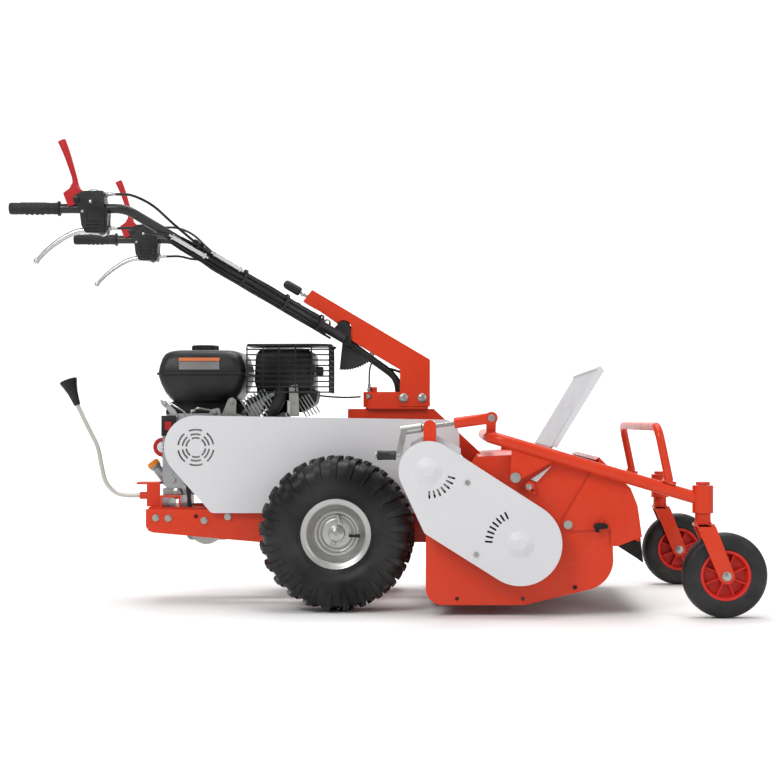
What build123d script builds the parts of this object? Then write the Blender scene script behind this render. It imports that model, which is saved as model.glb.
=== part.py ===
from build123d import *
from math import atan2, cos, degrees, hypot, radians, sin
import os

# Walk-behind flail mower with a petrol engine, belt drives, two drive wheels and two front casters.
# Millimetres. +X is the travel direction, +Y the machine's left, +Z up, and Z = 0 is the ground.
# The origin lies on the ground, at the middle of the overall length and width.

# ---------------------------------------------------------------- overall sizes
overall_length = 1940  # grip ends to caster tyres
half_width = 458  # mid-plane to the domes of the belt cover
handle_height = 1047  # axis of the grips
running_fit = 0.05  # radial clearance of a shaft in its bore
slip = 0.3  # gap beside a washer, belt or other piece that slides or turns

# ---------------------------------------------------------------- drive wheels
tyre_diameter = 410
tyre_width = 165
wheel_y = 252  # mid-plane of the machine to the middle of the tyre
axle_x = -132
axle_z = tyre_diameter / 2
axle_radius = 12.5
rim_radius = 91
bead_radius = 76
rim_half_width = 57
sheet = 3

# ---------------------------------------------------------------- casters
caster_diameter = 217
caster_width = 60
caster_y = 400
swivel_x = 807
caster_x = overall_length / 2 - caster_diameter / 2
caster_z = caster_diameter / 2
caster_rim_radius = 62.5
caster_bolt_radius = 8
swivel_radius = 12.5
socket_radius = 26.5
socket_bottom_z = 266
socket_top_z = 336
fork_gap = 3  # beside the caster tyre
fork_leg_thickness = 5
fork_leg_half_width = 20

# ---------------------------------------------------------------- chassis
plate_y = 140  # outer face of the chassis side plates
plate_thickness = 5
plate_top_z = 260
plate_rear_x = -659
flange_width = 42
bed_thickness = 4
bed_half_width = 112
engine_base_z = 296

# ---------------------------------------------------------------- deck
deck_y = 376  # outer face of the deck side plates
deck_plate = 6
deck_sheet = 5
deck_rear_x = 112
deck_knee_z = 215
deck_top_rear = (238, 408)
deck_top_mid = (325, 413)
deck_top_front = (530, 392)
skid_hole_radius = 5.5
skid_hole_z = 45
skid_hole_xs = (183, 351)
rotor_x, rotor_z = 342, 190
rotor_shaft_radius = 17.5
rotor_tube_radius = 57
flail_tip_radius = 148
flail_columns = 7
flail_rows = 4

# ---------------------------------------------------------------- belts and shafts
crank_x, crank_z = -520, 428
engine_face_y = -66
crank_radius = 12.7
jack_x, jack_z = 111, 374
jack_radius = 12.5
main_belt_y = -137
main_belt_width, main_belt_thickness = 17, 11
crank_main_radius, jack_main_radius = 50, 60
deck_belt_y = -418
jack_deck_radius, rotor_deck_radius = 50, 75
traction_belt_y = -86
traction_belt_width, traction_belt_thickness = 13, 9
crank_traction_radius, input_radius = 40, 36
input_x, input_z = -502, 208
input_shaft_radius = 8
guard_y = -160  # outer face of the main belt guard
guard_back_y = -116
cover_y = -446  # flat outer face of the deck belt cover
cover_back_y = -391
cover_sheet = 2
dome_radius = 35
dome_flat_radius = 14

# ---------------------------------------------------------------- lifting arms
arm_y = 400
arm_radius = 16
arm_wall = 3
arm_rear = (267, 459)
arm_front = (790, 304)
arm_bend = 45
arm_split_y = 300
arm_pivot = (331, 356)
arm_pivot_radius = 8
ear_pin = (270, 507)
ear_pin_radius = 5
hoop_radius = 11
hoop_foot = (716, 326)
hoop_top = (693, 485)

# ---------------------------------------------------------------- height screw
screw_pivot = (114, 485.5)
screw_radius = 6
nut_tube_radius = 13.5
nut_tube_start = 58  # screw pivot to the open end of the nut tube

# ---------------------------------------------------------------- column
swivel_bolt_x = 36
column_bolt_xs = (swivel_bolt_x, 88)
rail_top_z = 533
rail_height = 30
rail_half_width = 30
turntable_thickness = 5
base_height = 42
column_half_width = 45
column_wall = 4
tilt_x, tilt_z = -130, 757
tilt_pin_radius = 8
tilt_notch_radius = 21.6
sector_radius = 117

# ---------------------------------------------------------------- handlebar
handle_y = 340
bar_radius = 12.5
bar_wall = 2.5
bar_bend_x = -672
bar_end = (-128, 64, 727)
grip_radius = 15.5
grip_front_x = -842
grip_end_x = -overall_length / 2
red_pivot = (-793, 1069)
brake_pivot = (-730, 986)
cable_radius = 3.2


# ---------------------------------------------------------------- helpers
def side_plane(y):
    """Sketch plane across the machine at Y = y, with X to the right and Z up; extrusion goes towards -Y."""
    return Plane.XZ.offset(-y)


def side_slab(points, y_from, y_to, mode=Mode.ADD, corner=0):
    """Polygon of (X, Z) points filled between two Y stations."""
    with BuildSketch(side_plane(max(y_from, y_to))) as profile:
        with BuildLine():
            Polyline(*points, close=True)
        make_face()
        if corner:
            fillet(profile.vertices(), corner)
    extrude(profile.sketch, amount=abs(y_to - y_from), mode=mode)


def side_hull(circles, y_from, y_to, mode=Mode.ADD):
    """Hull of circles (X, Z, radius), filled between two Y stations."""
    with BuildSketch(side_plane(max(y_from, y_to))) as profile:
        for x, z, radius in circles:
            with Locations((x, z)):
                Circle(radius)
        make_hull(profile.edges())
    extrude(profile.sketch, amount=abs(y_to - y_from), mode=mode)


def cross_rod(radius, x, z, y_from, y_to, mode=Mode.ADD):
    """Round bar or bore across the machine."""
    with Locations((x, (y_from + y_to) / 2, z)):
        Cylinder(radius, abs(y_to - y_from), rotation=(90, 0, 0), mode=mode)


def block(x_span, y_span, z_span, mode=Mode.ADD):
    """Box between pairs of X, Y and Z values."""
    spans = (x_span, y_span, z_span)
    with Locations(tuple(sum(span) / 2 for span in spans)):
        Box(*[abs(span[1] - span[0]) for span in spans], mode=mode)


def turned(points, x, y, z):
    """Solid turned about an axis across the machine; each point is (offset along Y, radius)."""
    with BuildPart() as piece:
        with BuildSketch(Plane(origin=(x, y, z), x_dir=(0, 1, 0), z_dir=(1, 0, 0))):
            with BuildLine():
                Polyline(*points, close=True)
            make_face()
        revolve(axis=Axis((x, y, z), (0, 1, 0)))
    return piece.part


def swept_rod(points, bends, radius, wall=0):
    """Round rod, or a tube when wall is given, along straight runs joined by tangent arcs."""
    with BuildPart() as rod:
        with BuildLine():
            path = Polyline(*points) if len(points) == 2 else FilletPolyline(*points, radius=bends)
        with BuildSketch(Plane(path @ 0, z_dir=path % 0)):
            Circle(radius)
            if wall:
                Circle(radius - wall, mode=Mode.SUBTRACT)
        sweep(path=path)
    return rod.part


def flip(part):
    """The same piece on the machine's other side."""
    return mirror(part, about=Plane.XZ)


def save(part, name):
    """Label one finished piece and write its STEP file."""
    part.label = name
    export_step(part, f"parts/{name}.step")


def save_group(pieces, name):
    """Write several separate pieces as one file."""
    save(Compound(children=[solid for piece in pieces for solid in piece.solids()]), name)


def save_pair(right_part, name):
    """Write a piece for the right side and its mirror image for the left."""
    save(right_part, f"right_{name}")
    save(flip(right_part), f"left_{name}")


def on_line(start, end, x):
    """Z of the line through two (X, Z) points at X = x."""
    return start[1] + (x - start[0]) * (end[1] - start[1]) / (end[0] - start[0])


def pulley_points(belt_inner, thickness, width, y, wall=4):
    """Half section of a grooved pulley for a belt that runs at this inner radius."""
    half = width / 2 + slip
    rim = belt_inner + thickness + 1
    return [
        (y - half - wall, 0),
        (y - half - wall, rim),
        (y - half, rim),
        (y - half, belt_inner - slip),
        (y + half, belt_inner - slip),
        (y + half, rim),
        (y + half + wall, rim),
        (y + half + wall, 0),
    ]


def belt_loop(first, second, y, width, thickness):
    """Closed belt round two pulleys given as (X, Z, inner radius)."""
    with BuildPart() as belt:
        outer = [(x, z, radius + thickness) for x, z, radius in (first, second)]
        side_hull(outer, y - width / 2, y + width / 2)
        side_hull((first, second), y - width / 2, y + width / 2, Mode.SUBTRACT)
    return belt.part


# ---------------------------------------------------------------- drive wheels
def make_drive_wheels():
    """Tyre, pressed rim and axle shaft; the outboard side of the right wheel is -Y."""
    seat, well = bead_radius, bead_radius - 12
    flange_in = rim_half_width - sheet
    shell = [
        (-rim_half_width, rim_radius), (-flange_in, rim_radius), (-flange_in, seat), (-30, seat),
        (-20, well), (20, well), (30, seat), (flange_in, seat), (flange_in, rim_radius),
        (rim_half_width, rim_radius), (rim_half_width, seat - sheet), (31.5, seat - sheet),
        (21.5, well - sheet), (-21.5, well - sheet), (-31.5, seat - sheet), (-rim_half_width, seat - sheet),
    ]
    disc = [
        (-12, 18), (-12, 40), (-20, 46), (-20, well - 1), (-16, well - 1), (-16, 48), (-8, 42), (-8, 18),
    ]
    hub = [(-30, axle_radius), (-30, 19), (82, 19), (82, axle_radius)]
    rim_part = turned(shell, axle_x, -wheel_y, axle_z)
    disc_part = turned(disc, axle_x, -wheel_y, axle_z)
    hub_part = turned(hub, axle_x, -wheel_y, axle_z)
    shaft_out = -wheel_y - 36
    with BuildPart() as rim:
        add(rim_part)
        add(disc_part)
        add(hub_part)
        cross_rod(axle_radius, axle_x, axle_z, -3, shaft_out)
        cross_rod(14, axle_x, axle_z, -wheel_y - 30, shaft_out)
        with BuildSketch(side_plane(shaft_out)):
            with Locations((axle_x, axle_z)):
                RegularPolygon(9, 6)
        extrude(amount=8)
    save_pair(rim.part, "wheel_rim")

    top = tyre_diameter / 2
    side = tyre_width / 2
    tyre = [
        (-38, seat), (-flange_in, seat), (-flange_in, rim_radius + slip), (-side * 0.85, top * 0.51),
        (-side, top * 0.67), (-side * 0.97, top * 0.84), (-side * 0.82, top * 0.94), (-side * 0.53, top * 0.99),
        (0, top), (side * 0.53, top * 0.99), (side * 0.82, top * 0.94), (side * 0.97, top * 0.84),
        (side, top * 0.67), (side * 0.85, top * 0.51), (flange_in, rim_radius + slip), (flange_in, seat),
        (38, seat), (42, 96), (side - 20, 112), (side - 11, top * 0.67), (side - 14, top * 0.83),
        (side - 27, top * 0.9), (0, top * 0.93), (27 - side, top * 0.9), (14 - side, top * 0.83),
        (11 - side, top * 0.67), (20 - side, 112), (-42, 96),
    ]
    save_pair(turned(tyre, axle_x, -wheel_y, axle_z), "drive_tyre")


# ---------------------------------------------------------------- casters
def make_casters():
    """Fork, plastic rim and tyre of the right caster, and their mirror images."""
    fork_in = caster_width / 2 + fork_gap
    fork_out = fork_in + fork_leg_thickness
    crown_z = socket_bottom_z - 27
    axis_y = -caster_y
    with BuildPart() as fork:
        block((swivel_x - 22, swivel_x + 26), (axis_y - fork_out, axis_y + fork_out), (crown_z - 7, crown_z))
        for inner, outer in ((fork_in, fork_out), (-fork_out, -fork_in)):
            leg = [
                (swivel_x - 22, crown_z), (swivel_x + 26, crown_z),
                (caster_x + fork_leg_half_width * 0.93, caster_z + fork_leg_half_width * 0.37),
                (caster_x - fork_leg_half_width * 0.93, caster_z - fork_leg_half_width * 0.37),
            ]
            side_slab(leg, axis_y + inner, axis_y + outer)
            cross_rod(fork_leg_half_width, caster_x, caster_z, axis_y + inner, axis_y + outer)
        cross_rod(caster_bolt_radius, caster_x, caster_z, axis_y - fork_out - 8, axis_y + fork_out + 8)
        for outer in (-fork_out - 7, fork_out):
            with BuildSketch(side_plane(axis_y + outer + 7)):
                with Locations((caster_x, caster_z)):
                    RegularPolygon(13, 6)
            extrude(amount=7)
        with Locations((swivel_x, axis_y, (crown_z + socket_bottom_z - slip) / 2)):
            Cylinder(20, socket_bottom_z - slip - crown_z)
        with Locations((swivel_x, axis_y, (crown_z + socket_top_z + 6) / 2)):
            Cylinder(swivel_radius, socket_top_z + 6 - crown_z)
        with Locations((swivel_x, axis_y, socket_top_z + 5)):
            Cylinder(18, 8)
    save_pair(fork.part, "caster_fork")

    rim_half = caster_width / 2 - 6
    bore = caster_bolt_radius + running_fit
    ring = turned(
        [(-rim_half, 55), (-rim_half, caster_rim_radius), (rim_half, caster_rim_radius), (rim_half, 55)],
        caster_x, axis_y, caster_z,
    )
    hub = turned(
        [(-fork_in + slip, bore), (-fork_in + slip, 17), (fork_in - slip, 17), (fork_in - slip, bore)],
        caster_x, axis_y, caster_z,
    )
    with BuildPart() as rim:
        add(ring)
        add(hub)
        with Locations((caster_x, axis_y, caster_z)):
            Cylinder(56, 4, rotation=(90, 0, 0))
        for rib in range(8):
            with Locations(Location((caster_x, axis_y, caster_z), (0, 45 * rib + 22.5, 0))):
                with Locations((35, 0, 0)):
                    Box(44, 2 * rim_half - 8, 4)
        cross_rod(bore, caster_x, caster_z, axis_y - fork_in, axis_y + fork_in, Mode.SUBTRACT)

    top, half = caster_diameter / 2, caster_width / 2
    tyre = [
        (-rim_half, caster_rim_radius), (-rim_half - 2, caster_rim_radius + 6), (-half, top * 0.76),
        (-half * 0.93, top * 0.88), (-half * 0.6, top * 0.97), (0, top), (half * 0.6, top * 0.97),
        (half * 0.93, top * 0.88), (half, top * 0.76), (rim_half + 2, caster_rim_radius + 6),
        (rim_half, caster_rim_radius),
    ]
    tyre_part = turned(tyre, caster_x, axis_y, caster_z)
    save_group([rim.part, tyre_part], "right_caster_wheel")
    save_group([flip(rim.part), flip(tyre_part)], "left_caster_wheel")


# ---------------------------------------------------------------- chassis
chassis_bolts = ((-632, 237), (-598, 236), (-501, 230), (-437, 240))


def make_chassis():
    """Chassis frame, axle housing with its chain case, chain drive and gearbox; returns the plate bolts."""
    knee = (deck_rear_x, deck_knee_z)
    front_top = deck_rear_x + (plate_top_z - knee[1]) * (deck_top_rear[0] - knee[0]) / (deck_top_rear[1] - knee[1])
    outline = [
        (plate_rear_x, plate_top_z), (plate_rear_x, 214), (-652, 202), (-640, 197), (-351, 171),
        (deck_rear_x, 171), knee, (front_top, plate_top_z),
    ]
    inner = plate_y - plate_thickness
    with BuildPart() as plate:
        side_slab(outline, -plate_y, -inner)
        block((plate_rear_x, 60), (-plate_y, flange_width - plate_y), (plate_top_z - 4, plate_top_z))
        cross_rod(26 + slip, axle_x, axle_z, -plate_y, -inner, Mode.SUBTRACT)
        for x, z in chassis_bolts:
            cross_rod(5, x, z, -plate_y, -inner, Mode.SUBTRACT)
        cross_rod(6, -523, 241, -plate_y, -inner, Mode.SUBTRACT)

    with BuildPart() as bolts:
        for x, z in chassis_bolts:
            for side in (-1, 1):
                cross_rod(5, x, z, side * (inner - 9), side * plate_y)
                cross_rod(9.5, x, z, side * plate_y, side * (plate_y + 2))
                with BuildSketch(side_plane(side * plate_y + (-2 if side < 0 else 8))):
                    with Locations((x, z)):
                        RegularPolygon(8, 6)
                extrude(amount=6)
                cross_rod(8, x, z, side * (inner - 8), side * inner)

    with BuildPart() as bed:
        block((-657, -375), (-bed_half_width, bed_half_width), (plate_top_z, plate_top_z + bed_thickness))
        block((-565, -445), (-98, 98), (plate_top_z, plate_top_z + bed_thickness), Mode.SUBTRACT)
        for rear, front in ((-626, -570), (-440, -384)):
            block((rear, front), (-bed_half_width, bed_half_width), (plate_top_z, engine_base_z))
            block(
                (rear + 5, front - 5), (-bed_half_width, bed_half_width),
                (plate_top_z + bed_thickness, engine_base_z - 5), Mode.SUBTRACT,
            )

    bed_top = plate_top_z + bed_thickness
    with BuildPart() as bracket:
        add(bed.part)
        add(plate.part)
        add(flip(plate.part))
        block((-669, -663), (-76, -14), (bed_top, 331))
        block((-669, -633), (-76, -70), (bed_top, 331))
        block((-697, -633), (-76, -14), (325, 331))
        block((-669, -633), (-76, -14), (bed_top, bed_top + 5))
        with Locations((-678, -45, 293)):
            Cylinder(10, 30, rotation=(0, 90, 0))
        with Locations((-678, -45, 293)):
            Cylinder(6 + running_fit, 40, rotation=(0, 90, 0), mode=Mode.SUBTRACT)
    save(bracket.part, "chassis_frame")

    with BuildPart() as housing:
        for side in (-1, 1):
            cross_rod(26, axle_x, axle_z, side * 20, side * (plate_y + 8))
            cross_rod(44, axle_x, axle_z, side * plate_y, side * (plate_y + 8))
            cross_rod(axle_radius + running_fit, axle_x, axle_z, side * 20, side * (plate_y + 8), Mode.SUBTRACT)

    with BuildPart() as case:
        add(housing.part)
        side_hull(((-425, 212, 34), (axle_x, axle_z, 46)), -20, 20)
        side_hull(((-421, 212, 26), (axle_x, axle_z, 38)), -15, 15, Mode.SUBTRACT)
        block((-470, -440), (-20, 20), (170, 260), Mode.SUBTRACT)
        cross_rod(axle_radius + running_fit, axle_x, axle_z, -20, 20, Mode.SUBTRACT)
    save(case.part, "axle_housing")

    with BuildPart() as chain:
        side_hull(((-412, 212, 18), (axle_x, axle_z, 32)), -5, 5)
        side_hull(((-412, 212, 14), (axle_x, axle_z, 28)), -5, 5, Mode.SUBTRACT)

    sprockets = [(-412, 212, 14, 8), (axle_x, axle_z, 28, axle_radius + running_fit)]
    with BuildPart() as gears:
        for x, z, radius, bore in sprockets:
            cross_rod(radius, x, z, -3.5, 3.5)
            cross_rod(bore + 6, x, z, -14, 14)
            cross_rod(bore, x, z, -14, 14, Mode.SUBTRACT)
        cross_rod(8, -412, 212, -15, 15)
    save_group([gears.part, chain.part], "chain_drive")

    with BuildPart() as gearbox:
        block((-560, -440), (-68, 68), (172, 252))
        fillet(gearbox.edges().filter_by(Axis.Y), 14)
        block((-582, -555), (-50, 50), (244, plate_top_z))
        block((-446, -430), (-50, -30), (244, plate_top_z))
        block((-446, -430), (30, 50), (244, plate_top_z))
        cross_rod(24, input_x, input_z, -68, -72)
        cross_rod(input_shaft_radius + running_fit, input_x, input_z, -72, -30, Mode.SUBTRACT)
    save(gearbox.part, "gearbox")
    return bolts.part


# ---------------------------------------------------------------- belts, pulleys and guards
def make_drive():
    """Crank pulleys, traction pulley, jackshaft, belts, the main guard and the jackshaft housing."""
    crank_end = guard_y + 10
    shaft = [(-30, 0), (-30, crank_radius), (crank_end, crank_radius), (crank_end, 0)]
    main_pulley = pulley_points(crank_main_radius, main_belt_thickness, main_belt_width, main_belt_y)
    traction = pulley_points(crank_traction_radius, traction_belt_thickness, traction_belt_width, traction_belt_y, 3)
    pieces = [turned(points, crank_x, 0, crank_z) for points in (shaft, main_pulley, traction)]
    with BuildPart() as crank:
        for piece in pieces:
            add(piece)
    save(crank.part, "crank_pulleys")

    shaft = [(-34, 0), (-34, input_shaft_radius), (-98, input_shaft_radius), (-98, 0)]
    pulley = pulley_points(input_radius, traction_belt_thickness, traction_belt_width, traction_belt_y, 3)
    pieces = [turned(points, input_x, 0, input_z) for points in (shaft, pulley)]
    with BuildPart() as traction_pulley:
        for piece in pieces:
            add(piece)
    save(traction_pulley.part, "traction_pulley")

    runs = (
        ((crank_x, crank_z, crank_traction_radius), (input_x, input_z, input_radius)),
        ((crank_x, crank_z, crank_main_radius), (jack_x, jack_z, jack_main_radius)),
        ((jack_x, jack_z, jack_deck_radius), (rotor_x, rotor_z, rotor_deck_radius)),
    )
    sections = (
        (traction_belt_y, traction_belt_width, traction_belt_thickness),
        (main_belt_y, main_belt_width, main_belt_thickness),
        (deck_belt_y, main_belt_width, main_belt_thickness),
    )
    save_group([belt_loop(*run, *section) for run, section in zip(runs, sections)], "drive_belts")

    inner_end, outer_end = main_belt_y + 16, deck_belt_y - 16
    shaft = [(inner_end, 0), (inner_end, jack_radius), (outer_end, jack_radius), (outer_end, 0)]
    first = pulley_points(jack_main_radius, main_belt_thickness, main_belt_width, main_belt_y)
    second = pulley_points(jack_deck_radius, main_belt_thickness, main_belt_width, deck_belt_y)
    pieces = [turned(points, jack_x, 0, jack_z) for points in (shaft, first, second)]
    with BuildPart() as jackshaft:
        for piece in pieces:
            add(piece)
    save(jackshaft.part, "jackshaft")

    knee, slope_top = (deck_rear_x, deck_knee_z), deck_top_rear
    gusset = [(95, 355), (156, 0), (219, 0), (120, 400)]
    gusset = [(x, z or knee[1] + (x - knee[0]) * (slope_top[1] - knee[1]) / (slope_top[0] - knee[0])) for x, z in gusset]
    with BuildPart() as housing:
        cross_rod(30, jack_x, jack_z, guard_y - 5, cover_back_y)
        for y in (-230, -330):
            side_slab(gusset, y - 5, y + 5)
        cross_rod(jack_radius + running_fit, jack_x, jack_z, guard_y - 5, cover_back_y, Mode.SUBTRACT)

    back = cover_back_y - 4
    with BuildPart() as mount:
        side_hull(deck_cover_hull(0), back, cover_back_y)
        side_slab([(66, 444), (99, 460), (130, 463), (192, 430), (192, 400), (60, 380)], back, cover_back_y)
        for x, z in ((jack_x + 65, jack_z - 90), (rotor_x - 40, rotor_z + 78), (rotor_x + 70, rotor_z - 60)):
            cross_rod(8, x, z, cover_back_y, -deck_y)
        cross_rod(36, rotor_x, rotor_z, back, cover_back_y, Mode.SUBTRACT)
        add(housing.part)
        cross_rod(jack_radius + running_fit, jack_x, jack_z, guard_y - 5, back, Mode.SUBTRACT)
    save(mount.part, "jackshaft_housing")

    def guard_hull(floor, wall):
        """Hull circles of the guard with its floor at this height and its wall taken off all round."""
        return (
            (crank_x, crank_z, 86 - wall), (147, 460, 43 - wall), (jack_x, jack_z, 80 - wall),
            (118, floor + 15, 15 - wall), (-473, floor + 12, 12 - wall),
        )

    upper, lower = plate_top_z, 251
    vent_rings = (48, 36, 26)
    with BuildPart() as guard:
        side_hull(guard_hull(upper, 0), guard_y, guard_back_y)
        side_hull(guard_hull(lower, 0), guard_y, -plate_y)
        side_hull(guard_hull(upper, cover_sheet), guard_y + cover_sheet, guard_back_y, Mode.SUBTRACT)
        side_hull(guard_hull(lower, cover_sheet), guard_y + cover_sheet, -plate_y, Mode.SUBTRACT)
        cross_rod(jack_radius + 6, jack_x, jack_z, guard_y, guard_y + cover_sheet, Mode.SUBTRACT)
        with BuildSketch(side_plane(guard_y + cover_sheet)) as vents:
            for ring in vent_rings:
                for start in range(0, 360, 60):
                    with BuildLine(mode=Mode.PRIVATE) as arc:
                        CenterArc((crank_x, crank_z), ring, start + 12, 38)
                    SlotArc(arc.edges()[0], 5)
        extrude(amount=cover_sheet, mode=Mode.SUBTRACT)
    save(guard.part, "main_belt_guard")


# ---------------------------------------------------------------- deck
def deck_side_outline():
    """Outline of a deck side plate, with a large round at its lower front corner."""
    with BuildSketch(side_plane(-deck_y + deck_plate)) as outline:
        with BuildLine():
            Polyline(
                (103, 72), (103, 207), (230, 408), deck_top_mid, deck_top_front, (560, 300),
                (580, 215), (582, 155),
            )
            ThreePointArc((582, 155), (568, 100), (522, 69))
            Line((522, 69), (355, 29))
            Line((355, 29), (146, 29))
            RadiusArc((146, 29), (103, 72), 43)
        make_face()
    return outline.sketch


def make_deck():
    """Side plates, shell, rotor bearings, rotor, flails, belt cover, shield and skid bolts."""
    outline = deck_side_outline()
    with BuildPart() as plate:
        extrude(outline, amount=deck_plate)
        inner = deck_y - deck_plate
        for x in skid_hole_xs:
            cross_rod(skid_hole_radius, x, skid_hole_z, -deck_y, -inner, Mode.SUBTRACT)
        cross_rod(30, rotor_x, rotor_z, -deck_y, -inner, Mode.SUBTRACT)
        cross_rod(arm_pivot_radius, *arm_pivot, -deck_y, -inner, Mode.SUBTRACT)
        cross_rod(6, 466, 235, -deck_y, -inner, Mode.SUBTRACT)

    inner = deck_y - deck_plate
    drop = deck_sheet * 0.3
    shell_outline = [
        (deck_rear_x, 60), (deck_rear_x, deck_knee_z), deck_top_rear, deck_top_mid, deck_top_front,
        (deck_top_front[0], deck_top_front[1] - deck_sheet),
        (deck_top_mid[0], deck_top_mid[1] - deck_sheet),
        (deck_top_rear[0] + drop + 1.5, deck_top_rear[1] - deck_sheet),
        (deck_rear_x + deck_sheet, deck_knee_z - drop), (deck_rear_x + deck_sheet, 60),
    ]
    with BuildPart() as shell:
        side_slab(shell_outline, -inner, inner)
        add(plate.part)
        add(flip(plate.part))
    save(shell.part, "deck_housing")

    with BuildPart() as bearings:
        for side in (-1, 1):
            cross_rod(30, rotor_x, rotor_z, side * inner, side * deck_y)
            cross_rod(54, rotor_x, rotor_z, side * deck_y, side * (deck_y + 8))
            cross_rod(32, rotor_x, rotor_z, side * deck_y, side * (deck_y + 15))
            cross_rod(
                rotor_shaft_radius + running_fit, rotor_x, rotor_z, side * inner, side * (deck_y + 15), Mode.SUBTRACT,
            )
    save(bearings.part, "rotor_bearings")

    pulley = pulley_points(rotor_deck_radius, main_belt_thickness, main_belt_width, deck_belt_y)
    shaft = [
        (deck_belt_y - 16, 0), (deck_belt_y - 16, rotor_shaft_radius), (deck_y + 20, rotor_shaft_radius), (deck_y + 20, 0),
    ]
    tube = [(-inner + 6, 0), (-inner + 6, rotor_tube_radius), (inner - 6, rotor_tube_radius), (inner - 6, 0)]
    pieces = [turned(points, rotor_x, 0, rotor_z) for points in (shaft, tube, pulley)]
    pitch = 2 * (inner - 40) / (flail_columns * flail_rows - 1)
    stations = [
        (-inner + 40 + pitch * (column * flail_rows + row), 360 / flail_rows * row + 20)
        for column in range(flail_columns)
        for row in range(flail_rows)
    ]
    hinge_radius = rotor_tube_radius + 12
    with BuildPart() as rotor:
        for piece in pieces:
            add(piece)
        for y, angle in stations:
            with Locations(Location((rotor_x, y, rotor_z), (0, angle, 0))):
                with Locations((hinge_radius - 8, 6, 0), (hinge_radius - 8, -6, 0)):
                    Box(30, 4, 16)
                with Locations((hinge_radius, 0, 0)):
                    Cylinder(4, 16, rotation=(90, 0, 0))
    save(rotor.part, "rotor")

    with BuildPart() as flails:
        for y, angle in stations:
            with Locations(Location((rotor_x, y, rotor_z), (0, angle, 0))):
                with Locations((hinge_radius, 0, 0)):
                    Cylinder(9, 7, rotation=(90, 0, 0))
                with Locations(((hinge_radius + flail_tip_radius) / 2, 0, 0)):
                    Box(flail_tip_radius - hinge_radius, 7, 14)
                with Locations((flail_tip_radius - 4, 0, 0)):
                    Box(8, 34, 22)
                with Locations((hinge_radius, 0, 0)):
                    Cylinder(4 + slip, 7, rotation=(90, 0, 0), mode=Mode.SUBTRACT)
    save(flails.part, "flails")


def deck_cover_hull(wall):
    """Hull circles of the deck belt cover with its wall taken off all round."""
    return ((jack_x, jack_z, 75 - wall), (rotor_x, rotor_z, 105 - wall), (110, 226, 12 - wall))


def make_deck_covers():
    """White belt cover, the far bearing cover and the debris shield; returns the cover screws."""
    inside = cover_y + cover_sheet
    back = cover_back_y - 4
    dome_height = half_width + cover_y
    domes = [
        turned(
            [(0, 0), (0, dome_radius), (-dome_height, dome_flat_radius), (-dome_height, 0)],
            x, cover_y, z,
        )
        for x, z in ((jack_x, jack_z), (rotor_x, rotor_z))
    ]
    heads = ((209, 345), (231, 164))
    vents = [(jack_x, jack_z, 60, -88 + 12 * step) for step in range(7)]
    vents += [(rotor_x, rotor_z, 80, 116 + 8.5 * step) for step in range(8)]
    with BuildPart() as cover:
        side_hull(deck_cover_hull(0), cover_y, back)
        side_hull(deck_cover_hull(cover_sheet), inside, back, Mode.SUBTRACT)
        for dome in domes:
            add(dome)
        with BuildSketch(side_plane(inside)):
            for x, z, radius, angle in vents:
                spot = (x + radius * cos(radians(angle)), z + radius * sin(radians(angle)))
                with Locations(spot):
                    SlotOverall(20, 5, rotation=angle)
        extrude(amount=cover_sheet, mode=Mode.SUBTRACT)
        for x, z in heads:
            cross_rod(3, x, z, inside, cover_y, Mode.SUBTRACT)
    save(cover.part, "deck_belt_cover")

    far = turned(
        [
            (0, 66), (0, 78), (3, 78), (3, 68), (54, 62), (half_width - deck_y - 8, 24), (half_width - deck_y - 8, 0),
            (half_width - deck_y - 12, 0), (half_width - deck_y - 12, 22), (50, 58), (0, 58),
        ],
        rotor_x, deck_y + 8, rotor_z,
    )
    with BuildPart() as far_cover:
        add(far)
        for side in (-1, 1):
            block((rotor_x + side * 66, rotor_x + side * 78), (deck_y, deck_y + 8), (rotor_z - 8, rotor_z + 8))
    save(far_cover.part, "bearing_cover")

    foot_z = on_line(deck_top_mid, deck_top_front, 424)
    toe_z = on_line(deck_top_mid, deck_top_front, 454)
    shield_half = deck_y + 4
    with BuildPart() as shield:
        side_slab([(423, 433), (427, 431), (549, 632), (545, 635)], -shield_half, shield_half)
        cross_rod(6, 546, 632, -shield_half, shield_half)
        side_slab(
            [(423, 434), (427, 434), (427, foot_z + 4), (454, toe_z + 4), (454, toe_z + slip), (423, foot_z + 0.5)],
            -inner_width(), inner_width(),
        )
    save(shield.part, "debris_shield")

    with BuildPart() as screws:
        for x, z in heads:
            cross_rod(3, x, z, inside, cover_y)
            cross_rod(6.5, x, z, cover_y, cover_y - 3)
            cross_rod(9, x, z, back, inside)
    return screws.part


def inner_width():
    """Half the clear width between the deck side plates."""
    return deck_y - deck_plate


# ---------------------------------------------------------------- front hood and flap
hood_hinge = (466, 235)
flap_hinge = (652, 194)


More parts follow.
